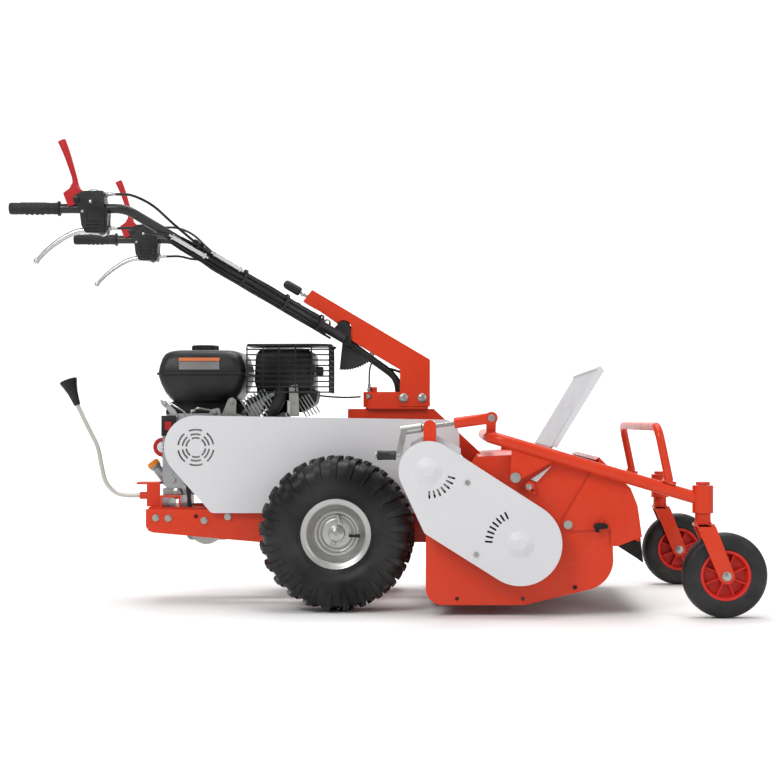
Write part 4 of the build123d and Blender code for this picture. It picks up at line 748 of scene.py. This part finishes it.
def brackets():
    """Small brackets, pipes and bolts under the tank, and the air cleaner."""
    arm = Piece()
    strap = [(-634, 560), (-612, 548), (-590, 528), (-582, 508), (-600, 508), (-612, 530), (-630, 544)]
    arm.plate(strap, 6, -72, -66)
    arm.plate([(-500, 508), (-494, 530), (-470, 536), (-462, 508)], 6, -76, -70)
    arm.bolt((-620, -72, 548), OUTWARD, 10, 5)
    arm.bolt((-482, -76, 522), OUTWARD, 10, 5)
    arm.done("tank_brackets", "machine", "alloy", bevel=0.6)

    plate = Piece()
    plate.plate([(-398, 498), (-380, 540), (-356, 556), (-346, 548), (-366, 498)], 5, -64, -60)
    plate.plate([(-276, 512), (-276, 596), (-252, 600), (-248, 512)], 5, -88, -84)
    plate.plate([(-470, 500), (-446, 560), (-434, 566), (-424, 556), (-424, 500)], 6, -70, -64)
    plate.bolt((-264, -88, 585), OUTWARD, 10, 5)
    plate.bolt((-436, -70, 550), OUTWARD, 9, 5)
    pipe = [(-545, -60, 524), (-530, -66, 534), (-505, -62, 530), (-480, -60, 526)]
    plate.bent(pipe, 6, 4.5, 12)
    link = [(-612, -58, 552), (-585, -66, 536), (-566, -66, 522), (-560, -66, 500)]
    plate.bent(link, 6, 3.0, 12)
    plate.ball((-545, -62, 526), 8, 16)
    plate.done("engine_brackets", "machine", "zinc", bevel=0.6)

    cleaner = Piece()
    shape = (
        (557, 8, 20), (562, 2, 24), (622, 0, 26), (626, 2, 26), (630, 0, 26), (684, 1, 26), (694, 8, 28),
        (699.5, 20, 26),
    )
    cleaner.layers(CLEANER_SIDES, shape, 6)
    cleaner.box((-330, 115, 530), (60, 48, 58))
    cleaner.done("air_cleaner_case", "machine", "plastic", "air_cleaner", bevel=1.0)


def starter_side():
    """Red fan shroud and black recoil starter with its pull grip."""
    shroud = Piece()
    outline = rounded([(-634, 306), (-396, 306), (-396, 549), (-634, 549)], 46, 8)
    rings = [[Vector((x, y, z)) for x, z in outline] for y in (110.5, 150)]
    rings.append([Vector(((x + 515) * 0.95 - 515, 166, (z - 428) * 0.95 + 428)) for x, z in outline])
    shroud.loft(rings)
    shroud.done("fan_shroud", "machine", "lever_red", "recoil_starter", bevel=2.0)
    starter = Piece()
    bowl = [(0, 98), (24, 96), (34, 88), (39, 62), (50, 58), (56, 50), (57, 20), (55.5, 2)]
    starter.lathe(bowl, (SHAFT[0], 165, SHAFT[1]), sides=72)
    for k in range(16):
        angle = 2 * pi * k / 16
        spot = Vector((SHAFT[0] + 76 * cos(angle), 202, SHAFT[1] + 76 * sin(angle)))
        starter.box(spot, (22, 6, 5), Matrix.Rotation(-angle, 3, "Y"))
    starter.lathe([(0, 12), (20, 11), (30, 16), (38, 15)], (-595, 150, 520), (-0.5, 0.2, 0.85), 20)
    starter.done("recoil_cover", "machine", "plastic", bevel=1.0)


def oil_and_drain():
    """Oil filler with its amber cap, the round red cover and the drain bolts."""
    neck = Piece()
    along = Vector((-0.616, 0, 0.788))
    middle = Vector((-645, 6, 352))
    neck.lathe([(-30, 15), (-6, 13.5), (20, 13), (22, 16), (27, 16)], middle, along, 32)
    neck.done("oil_neck", "machine", "alloy", "oil_filler", bevel=0.5)
    cap = Piece()
    rings = []
    side = along.orthogonal().normalized()
    other = along.cross(side)
    for h, radius, lobe in ((27, 16, 0), (28, 16.6, 0.8), (39, 16.4, 0.8), (42, 14, 0)):
        angles = [2 * pi * k / 60 for k in range(60)]
        reach = [(side * cos(a) + other * sin(a)) * (radius + lobe * cos(10 * a)) for a in angles]
        rings.append([middle + along * h + r for r in reach])
    cap.loft(rings)
    cap.done("oil_cap", "machine", "amber", bevel=0.4)

    red = Piece()
    cover = (-628, -50, 427)
    red.lathe([(0, 27), (9, 27), (12, 24), (12, 16), (9, 14)], cover, OUTWARD, 40)
    red.done("side_red_cover", "machine", "lever_red", bevel=0.8)
    pale = Piece()
    pale.lathe([(9, 15), (13.5, 15), (14.5, 13)], cover, OUTWARD, 32)
    pale.bolt((-628, -64, 427), OUTWARD, 8, 4)
    pale.done("side_pale_disc", "machine", "white", bevel=0.5)
    drain = Piece()
    drain.bolt((-565, -66, 318), OUTWARD, 13, 8, 11)
    drain.bolt((-596, -66, 335), OUTWARD, 10, 5)
    drain.lathe([(0, 16), (8, 15), (10, 12)], (-588, -66, 300), OUTWARD, 32)
    drain.done("drain_bolts", "machine", "zinc", bevel=0.4)


# ---------------- handlebar
BAR_BEND, BAR_END = Vector((-672, -340, 1047)), Vector((-128, -64, 727))
BAR_RUN = (BAR_END - BAR_BEND).normalized()
BAR_SIDE = BAR_RUN.cross(UP).normalized()
BAR_LIFT = BAR_SIDE.cross(BAR_RUN)


def beside(x, up, out):
    """Point beside the right tube's straight part, level with X = x on its axis."""
    return BAR_BEND + BAR_RUN * ((x - BAR_BEND.x) / BAR_RUN.x) + BAR_LIFT * up + BAR_SIDE * out


def across(point, side):
    """The point on the asked side; all handlebar pieces are written for the right."""
    point = Vector(point)
    return Vector((point.x, point.y * -side, point.z))


GRIP_ACROSS, GRIP_HEIGHT = 340, 1047
BODY = "handles"


def handle_side(name, side):
    """Grip, lever housing, red safety lever, alloy brake lever, cables, ties and adjusters of one side."""
    rubber_grip(name, side)
    lever_housing(name, side)
    safety_lever(name, side)
    brake_lever(name, side)
    bar_cables(name, side)


def rubber_grip(name, side):
    """Ribbed grip at the bar's end."""
    y = side * GRIP_ACROSS
    grip = Piece()
    profile = [(-970, 8), (-969.5, 14), (-967, 15.2), (-950, 15.5), (-947, 14.6), (-944, 15.4), (-934, 15.2)]
    for k in range(5):
        x = -931 + 14 * k
        profile += [(x, 14.4), (x + 3, 15.5), (x + 8, 15.5), (x + 11, 14.4)]
    profile += [(-860, 15), (-850, 15.3), (-846, 15), (-844.5, 19.5), (-840, 19.5), (-839, 15), (-838, 12.8)]
    profile += [(-964, 12.8), (-966, 8)]
    grip.lathe(profile, (0, y, GRIP_HEIGHT), (1, 0, 0), ring=True)
    grip.box((-908, y, 1061), (66, 11, 3))
    for k in range(4):
        grip.box((-926 + 13 * k, y, 1032.6), (5, 14, 4), Matrix.Rotation(0.2, 3, "Y"))
    grip.done(f"{name}_grip_sleeve", BODY, "grip_rubber", "grips" if side < 0 else None, bevel=0.6, angle=40)


def lever_housing(name, side):
    """Two-part black housing of the levers, with its screws, cable ends and the small spring wire."""
    y = side * GRIP_ACROSS
    housing = Piece()
    upper = [
        (-798, 1056), (-798, 1078), (-776, 1090), (-724, 1090.5), (-721, 1060), (-721, 1036), (-786, 1036),
        (-790, 1050),
    ]
    for low, high in ((17.6, 22), (-22, -17.6)):
        housing.plate(upper, 4, y + low, y + high, 3)
    inner = [(-754, 1036), (-756, 1090), (-724, 1090.5), (-721, 1060), (-721, 1036)]
    housing.plate(inner, 4, y - 17.6, y + 17.6, 3)
    lower = [(-786, 1042), (-781, 1002), (-771, 983), (-717, 981), (-714, 1000), (-714, 1042)]
    for low, high in ((7.5, 21), (-21, -7.5)):
        housing.plate(lower, 4, y + low, y + high, 3)
    housing.plate([(-738, 1040), (-738, 984), (-717, 982), (-714, 1040)], 3, y - 8, y + 8, 3)
    housing.plate([(-770, 1047), (-768, 1025), (-713, 1025), (-713, 1047)], 3, y - 21.6, y + 21.6, 3)
    for face in (-1, 1):
        for k in range(4):
            housing.box((-747, y + face * 21.2, 1014 - 8.5 * k), (52 - 3 * k, 4.6, 3.4))
        housing.box((-744, y + face * 21.9, 1052), (34, 4.2, 12))
        housing.box((-727, y + face * 21.5, 1028), (10, 4.4, 62))
        housing.box((-771, y + face * 21.5, 1014), (9, 3.6, 44))
        housing.lathe([(0, 8.5), (3, 8.5), (3.6, 7)], (-793, y + face * 21, 1069), (0, face, 0), 28)
        housing.lathe([(0, 9), (2.6, 9)], (-730, y + face * 20, 990), (0, face, 0), 28)
    housing.box((-762, y + side * 22.4, 1082), (26, 1.2, 3))
    housing.done(f"{name}_switch_housing", BODY, "plastic", "lever_housings" if side < 0 else None, bevel=0.8)

    bright = Piece()
    for face in (-1, 1):
        for x, z, r in ((-757, 1062, 4.4), (-778, 1037, 3.8)):
            bright.lathe([(0, r), (1.6, r), (2.4, r * 0.7)], (x, y + face * 22, z), (0, face, 0), 24)
    bright.tube([(-724, y, 1083), (-704, y, 1085), (-698, y, 1085)], [5, 5, 4.2], 20)
    bright.hexagon((-722, y, 1083.2), (1, 0, 0.05), 13, 6)
    bright.tube([(-716, y, 996), (-692, y, 996)], [5, 4.4], 20)
    bright.hexagon((-714, y, 996), (1, 0, 0), 13, 6)
    wire = [(-772, y, 1084), (-765, y, 1094), (-752, y, 1097), (-738, y, 1092), (-727, y, 1086)]
    bright.bent(wire, 6, 1.3, 8)
    bright.done(f"{name}_cable_ends", BODY, "zinc", bevel=0.3)


def safety_lever(name, side):
    """Red lever with its two cheeks at the pivot."""
    y = side * GRIP_ACROSS
    red = Piece()
    spine = [(-798, 1086), (-800, 1110), (-803, 1128), (-811, 1154), (-820, 1182), (-829, 1206), (-836, 1222)]
    width = [28, 15, 13, 15, 17, 19.5, 21]
    depth = [15, 14, 13, 13, 14, 15, 14]
    path = curve_points([(x, y, z) for x, z in spine], 5)
    rings = []
    steps = len(path) - 1
    for i, point in enumerate(path):
        f = i / steps * (len(width) - 1)
        k = min(int(f), len(width) - 2)
        w = width[k] + (width[k + 1] - width[k]) * (f - k)
        d = depth[k] + (depth[k + 1] - depth[k]) * (f - k)
        before, after = path[max(i - 1, 0)], path[min(i + 1, steps)]
        tangent = (after - before).normalized()
        out = tangent.cross(ACROSS).normalized()
        rings.append([])
        for a in (2 * pi * j / 20 for j in range(20)):
            flat = abs(sin(a)) ** 0.7 * (1 if sin(a) >= 0 else -1)
            rings[-1].append(point + out * (w * 0.5 * cos(a)) + ACROSS * (d * flat * 0.8))
    red.loft(rings)
    cheek = [
        (-829, 1085), (-816, 1051), (-803, 1053), (-788, 1064), (-775, 1085), (-790, 1100), (-797, 1114),
        (-806, 1110), (-812, 1097),
    ]
    for face in (-1, 1):
        red.plate(cheek, 3, y + face * 13.6, y + face * 16.9, 3)
    red.plate([(-813, 1099), (-798, 1112), (-788, 1098), (-786, 1080), (-799, 1079)], 3, y - 14, y + 14, 3)
    red.done(f"{name}_safety_lever", f"{name}_safety", "lever_red", f"{name}_red_lever", bevel=0.9)


def brake_lever(name, side):
    """Alloy blade that tapers to a ball end."""
    y = side * GRIP_ACROSS
    brake = Piece()
    spine = [
        (-728, 986), (-752, 989), (-775, 990), (-800, 986), (-828, 973), (-856, 954), (-880, 934), (-900, 912),
    ]
    route = curve_points([(x, y, z) for x, z in spine], 6)
    last = len(route) - 1
    rings = []
    for i, point in enumerate(route):
        tangent = (route[min(i + 1, last)] - route[max(i - 1, 0)]).normalized()
        out = tangent.cross(ACROSS).normalized()
        share = i / last
        tall = 9.2 - 4.0 * share
        wide = 6.2 + 0.8 * sin(pi * share)
        rings.append(circle(point, out * tall, ACROSS * wide))
    brake.loft(rings)
    brake.ball((-901, y, 912), 8, 24)
    brake.lathe([(-6.5, 10), (6.5, 10)], (-730, y, 986), (0, 1, 0), 28)
    brake.done(f"{name}_brake_blade", f"{name}_brake", "polished", f"{name}_brake_lever", bevel=0.5)


def bar_cables(name, side):
    """Cables along the bar, with their ties, clip and adjusters."""
    high = [(-697, -340, 1084), (-655, -340, 1081), (-606, -318, 1058), (-556, -287, 1013)]
    high += [beside(x, 16.4 + lift, 0) for x, lift in zip(range(-500, -150, 60), (0.4, 2.2, 0.4, 2.2, 0.4, 2))]
    low = [(-691, -340, 996), (-652, -340, 996), (-610, -322, 986)]
    low += [beside(x, -4, 16.4 + gap) for x, gap in zip(range(-560, -150, 60), (0.4, 2, 0.2, 2, 0.4, 2, 0.4))]
    cables = Piece()
    for route in (high, low):
        cables.bent([across(p, side) for p in route], 8, 3.6, 12)
    for up, out, start in ((-13, 10, -596), (-18, 1, -570), (9, 15, -545)):
        line = [beside(start, up * 0.8, out * 0.8)]
        line += [beside(x, up, out + 1.5 * sin(x)) for x in range(start + 40, -160, 60)]
        cables.bent([across(p, side) for p in line], 6, 3.4, 12)
    cables.done(f"{name}_bar_cables", BODY, "cable_black", "handlebar_cables" if side < 0 else None)

    ties = Piece()
    for x in (-508, -390, -285, -196):
        centre = across(beside(x, 2, 3), side)
        axis = Vector((BAR_RUN.x, BAR_RUN.y * -side, BAR_RUN.z))
        ties.lathe([(-3.4, 23.5), (3.4, 23.5), (3.4, 21.5), (-3.4, 21.5)], centre, axis, 40, ring=True)
        ties.box(across(beside(x, -20, 12), side), (9, 8, 8), Matrix.Rotation(radians(30), 3, "Y"))
    clip = across(beside(-505, 19, 2), side)
    ties.box(clip, (30, 15, 13), Matrix.Rotation(radians(30), 3, "Y"))
    ties.done(f"{name}_cable_ties", BODY, "plastic", bevel=0.7)

    adjust = Piece()
    for x0, x1, up, out in ((-572, -478, -6, 22), (-478, -398, 12, 20)):
        first, last = across(beside(x0, up, out), side), across(beside(x1, up, out), side)
        axis = (last - first).normalized()
        span = (last - first).length
        barrel = [(0, 2.6), (8, 2.6), (8, 5.6), (span - 12, 5.6), (span - 12, 2.8), (span, 2.8)]
        adjust.lathe(barrel, first, axis, 20)
        adjust.hexagon(first + axis * (span - 14), axis, 13, 6)
        adjust.hexagon(first + axis * 8, axis, 13, 5)
    adjust.done(f"{name}_cable_adjusters", BODY, "polished", bevel=0.3)


def handlebar():
    """Both sides of the bar, then lock knob, pawl and gear lever."""
    for name, side in SIDES:
        handle_side(name, side)
    dress("handlebar", "tube_black", 0.6)

    knob = Piece()
    slope = Vector((cos(radians(149.4)), 0, sin(radians(149.4))))
    start = Vector((-230, -14, 845))
    knob.lathe([(26, 9), (28, 12.2), (34, 13), (66, 13), (74, 11), (78, 6)], start, slope, 32)
    knob.done("lock_knob", "lock", "plastic", "lock_rod", bevel=0.6)
    rod = Piece()
    rod.lathe([(-250, 3), (-246, 5), (28, 5)], start, slope, 24)
    rod.hexagon(start + slope * 14, slope, 15, 8)
    rod.done("lock_plunger", "lock", "zinc", bevel=0.4)
    dress("tilt_pawl", "zinc", 0.7)
    pawl = Piece()
    pawl.lathe([(0, 8.5), (3, 8.5), (4, 7)], (-40, -24, 704), OUTWARD, 28)
    pawl.bolt((-40, -26, 704), OUTWARD, 9, 4)
    pawl.done("pawl_nut", "pawl", "zinc", bevel=0.4)

    lever = Piece()
    bend = [
        (-656, 293), (-700, 293), (-735, 294), (-764, 303), (-789, 332), (-801, 380), (-812, 430), (-840, 487),
        (-868, 546),
    ]
    lever.bent([(x, -45, z) for x, z in bend], 8, 5.9, 20)
    lever.hexagon((-663, -45, 293), (-1, 0, 0), 19, 8)
    lever.done("gear_rod", "gear_body", "rod_silver", "gear_lever", bevel=0.3)
    knob = Piece()
    away = Vector((-26, 0, 69)).normalized()
    foot = Vector((-867, -45, 543))
    funnel = [
        (0, 7.5), (2, 9), (14, 10.5), (36, 14), (56, 19.5), (66, 23.5), (70, 24.6), (73, 24.4), (75, 22),
        (75.5, 3),
    ]
    knob.lathe(funnel, foot, away)
    knob.done("gear_knob", "gear_body", "plastic", bevel=0.5)


# ---------------- column, crank and screw
def column_trim():
    """Column bolts, the cables down the column, and the lock of its turn."""
    bolts = Piece()
    for x in (36, 88):
        for face in (-1, 1):
            bolts.lathe([(0, 13), (2, 13), (2.6, 12.2)], (x, face * 45, 563), (0, face, 0), 36)
            bolts.lathe([(2, 11.2), (6, 11.2), (7.6, 9), (8.2, 6)], (x, face * 45, 563), (0, face, 0), 36)
    bolts.done("column_bolts", "column_body", "zinc", bevel=0.3)

    bundle = Piece()
    for offset in (-10.5, -3.5, 3.5, 10.5):
        route = [(-92, 690), (-40, 655), (15, 640), (58, 620), (66, 592)]
        bundle.bent([(x, offset, z) for x, z in route], 8, 3.4, 12)
    bundle.done("column_cable_bundle", "column_body", "cable_black", "column_cables")

    sleeve = Piece()
    for shift, drop in ((0, 0), (5, -9), (12, 4)):
        route = [
            (-150 + shift, -44 - shift * 0.3, 742 + drop), (-118, -38, 722 + drop),
            (-84, -36 + shift, 696 + drop), (-40, -32 + shift, 664 + drop), (0, -28 + shift, 634 + drop),
            (22 + drop, -26 + shift, 604), (26 + drop, -24 + shift, 580),
        ]
        sleeve.bent(route, 10, 5, 14)
    sleeve = sleeve.done("bar_to_column_sleeve", None, "cable_black")
    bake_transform(sleeve)

    lock = Piece()
    lock.box((-60, -18, 567), (26, 22, 26))
    lock.lathe([(0, 8), (10, 8)], (-60, -29, 567), OUTWARD, 28)
    lock.done("yaw_lock_block", "column_body", "paint", bevel=1.0)
    nut = Piece()
    nut.bolt((-60, -39, 567), OUTWARD, 10, 6, 8)
    nut.lathe([(0, 4.2), (22, 4.2), (23, 3)], (-60, -18, 580), (0, 0, 1), 20)
    nut.hexagon((-60, -18, 584), (0, 0, 1), 12, 7)
    nut.done("yaw_lock_nut", "column_body", "zinc", bevel=0.3)
    wire = Piece()
    wire.bent([(-60, -18, 600), (-60, -22, 622), (-58, -30, 644), (-52, -35, 662)], 8, 2.4, 12)
    wire.done("yaw_lock_cable", "column_body", "cable_black")


# lower pivot of the height screw, and its pin at the ear of the arm frame
SCREW, EAR = Vector((114, -412, 485.5)), Vector((270, -412, 507))


def height_screw():
    """Crank with its grip, threaded rod, the nut tube flattened at the ear pin, and the trunnion's plate."""
    slope = (EAR - SCREW).normalized()
    length = (EAR - SCREW).length
    lift = Vector((-slope.z, 0, slope.x))
    crank = Piece()
    crank.lathe([(-60, 0.5), (-60, 7), (-74, 8), (-74, 12), (-22, 12), (-18, 9), (-12, 9)], SCREW, slope, 32)
    crank.lathe([(-14, 12.6), (-13, 13), (13, 13), (14, 12.6)], SCREW, slope, 32)
    crank.tube([SCREW + slope * 13, SCREW + slope * 84], 5.4, 20)
    for k in range(22):
        centre = SCREW + slope * (15 + 3.2 * k)
        crank.lathe([(0, 5.2), (0.9, 6.3), (1.8, 5.2)], centre, slope, 20)
    arm = rounded([(43, 481), (57, 476), (44, 414), (31, 412), (29, 421)], 4, 3)
    crank.prism(arm, -428, -422)
    crank.lathe([(0, 7), (12, 7)], (50, -422, 474), (0, 1, 0), 24)
    crank.lathe([(0, 4), (60, 4), (60, 7), (63, 7), (63.5, 5)], (40, -425, 413), (-1, 0, 0), 24)
    crank.done("crank_arm_and_rod", "crank", "zinc", "height_crank", bevel=0.4)
    grip = Piece()
    profile = [(0, 9), (1, 12), (6, 12.3), (8, 11.3), (20, 11.6), (34, 11.6), (42, 12.3), (47, 12), (48, 9)]
    profile += [(48, 4.4), (0, 4.4)]
    grip.lathe(profile, (29, -425, 413), (-1, 0, 0), 32, ring=True)
    grip.done("crank_grip", "crank", "plastic", bevel=0.3)

    tube = Piece()
    # distance along the slope, half height, half width
    stations = (
        (62, 13, 13), (63, 14, 14), (length - 44, 14, 14), (length - 30, 14, 9), (length - 20, 14, 6),
        (length - 6, 14, 5), (length + 2, 14, 5),
    )
    tube.loft([circle(SCREW + slope * a, ACROSS * wide, lift * tall, sides=32) for a, tall, wide in stations])
    tube.lathe([(-5, 16), (5, 16)], EAR, (0, 1, 0), 36)
    tube.done("nut_tube_flattened", "nut_tube", "paint", "screw_nut_tube", bevel=0.8)
    plate = Piece()
    top = [(114 + 16 * cos(radians(a)), 486 + 16 * sin(radians(a))) for a in range(0, 181, 15)]
    plate.prism([(130, 446), *top, (98, 446)], -432, -427.5)
    plate.prism([(130, 446), (130, 455), (98, 455), (98, 446)], -428, -384)
    plate.done("trunnion_front_plate", "machine", "paint", bevel=1.0)
    pin = Piece()
    pin.lathe([(0, 9.5), (2, 9.5)], EAR - ACROSS * 5.2, OUTWARD, 32)
    pin.hexagon(EAR - ACROSS * 7.2, OUTWARD, 13, 6)
    pin.done("nut_tube_bolt", "nut_tube", "zinc", bevel=0.4)


# ---------------- deck and front
def deck_trim():
    """Screws, hinge bolts, hood latches and the shield's bright edge."""
    screws = Piece()
    for x, z in ((209, 345), (231, 164)):
        screws.lathe([(0, 8.5), (1.6, 8.5), (2, 7.8)], (x, -415, z), OUTWARD, 28)
        screws.hexagon((x, -417, z), OUTWARD, 8, 4)
    screws.done("cover_screw_heads", "machine", "zinc", bevel=0.3)
    tab = Piece()
    tab.plate([(352, 340), (358, 322), (374, 316), (382, 326), (380, 342), (368, 348)], 8, -391, -386)
    tab.plate([(371, 322), (377, 312), (384, 314), (379, 328)], 3, -391, -386, 3)
    tab.done("hood_stay_tab", "machine", "paint", bevel=0.6)
    tab = Piece()
    tab.bolt((366, -391, 332), OUTWARD, 10, 4, 8)
    tab.done("hood_stay_bolt", "machine", "zinc", bevel=0.4)
    stay = Piece()
    stay.prism([(370, 350), (425, 386), (387, 344)], -384, -381.5)
    stay.done("shield_stay_plate", "machine", "white", bevel=0.3)
    # Painted shade: a near-black disc on each side of the deck stands for the shade inside a hole there.
    hole_shade_discs = Piece()
    for side in (-1, 1):
        hole_shade_discs.lathe([(0, 5.4), (1.4, 5.4), (1.8, 4.6)], (484, side * 379.6, 75), (0, side, 0), 24)
    hole_shade_discs.done("deck_edge_hole_shade_discs", "machine", "painted_hole_shade", bevel=0.2)
    rails = Piece()
    for side in (-1, 1):
        edge = [(425, 434), (437, 430), (559, 628), (549, 637), (544, 634)]
        rails.plate(edge, 2, side * 380, side * 385.6, 3)
    rails.tube([(547, -384.8, 633), (547, 384.8, 633)], 6.6, 24)
    rails.done("shield_bright_edges", "machine", "white", bevel=0.8, slot="white_panel")
    lip = Piece()
    lip.prism([(535, 400.5), (549, 406.8), (549, 403.4), (536, 397.6)], -376, 376)
    lip.done("hood_top_lip", "hood", "paint", bevel=0.5)
    for name, side in SIDES:
        clasp = Piece()
        y = side * 391.5
        hook = [(531, 226), (531, 236), (540, 240), (560, 239), (568, 234), (566, 226), (545, 223)]
        clasp.plate(hook, 3, y - 4, y + 4, 3)
        clasp.plate([(534, 216), (534, 230), (545, 230), (545, 216)], 3, y - 5, y + 3, 3)
        clasp.done(f"{name}_hood_latch", "hood", "caster_rubber", bevel=0.9)


# ---------------- finishes of the CAD parts that stay
DRESSED = (
    ("paint", 0.5, "chassis_frame deck_housing arm_frame front_hoop front_hood"),
    ("paint", 0.5, "column column_base column_support screw_trunnion"),
    ("white", 0.8, "main_belt_guard deck_belt_cover bearing_cover jackshaft_housing"),
    ("panel", 0.4, "debris_shield"),
    ("zinc", 0.4, "frame_bolts pivot_bolts crank_pulleys traction_pulley jackshaft"),
    ("steel", 0.3, "flails chain_drive"),
    ("iron", 0.4, "axle_housing rotor_bearings rotor"),
    ("alloy", 0.6, "gearbox"),
    ("belt_rubber", 0.0, "drive_belts"),
    ("flap_rubber", 0.3, "front_flap"),
)


def build():
    """Everything, in the order it is listed."""
    for name, side in SIDES:
        drive_wheel(name, side)
        caster(name, side)
    engine()
    handlebar()
    column_trim()
    height_screw()
    deck_trim()
    for look, bevel, nodes in DRESSED:
        for node in nodes.split():
            dress(node, look, bevel)


build()
set_stage()
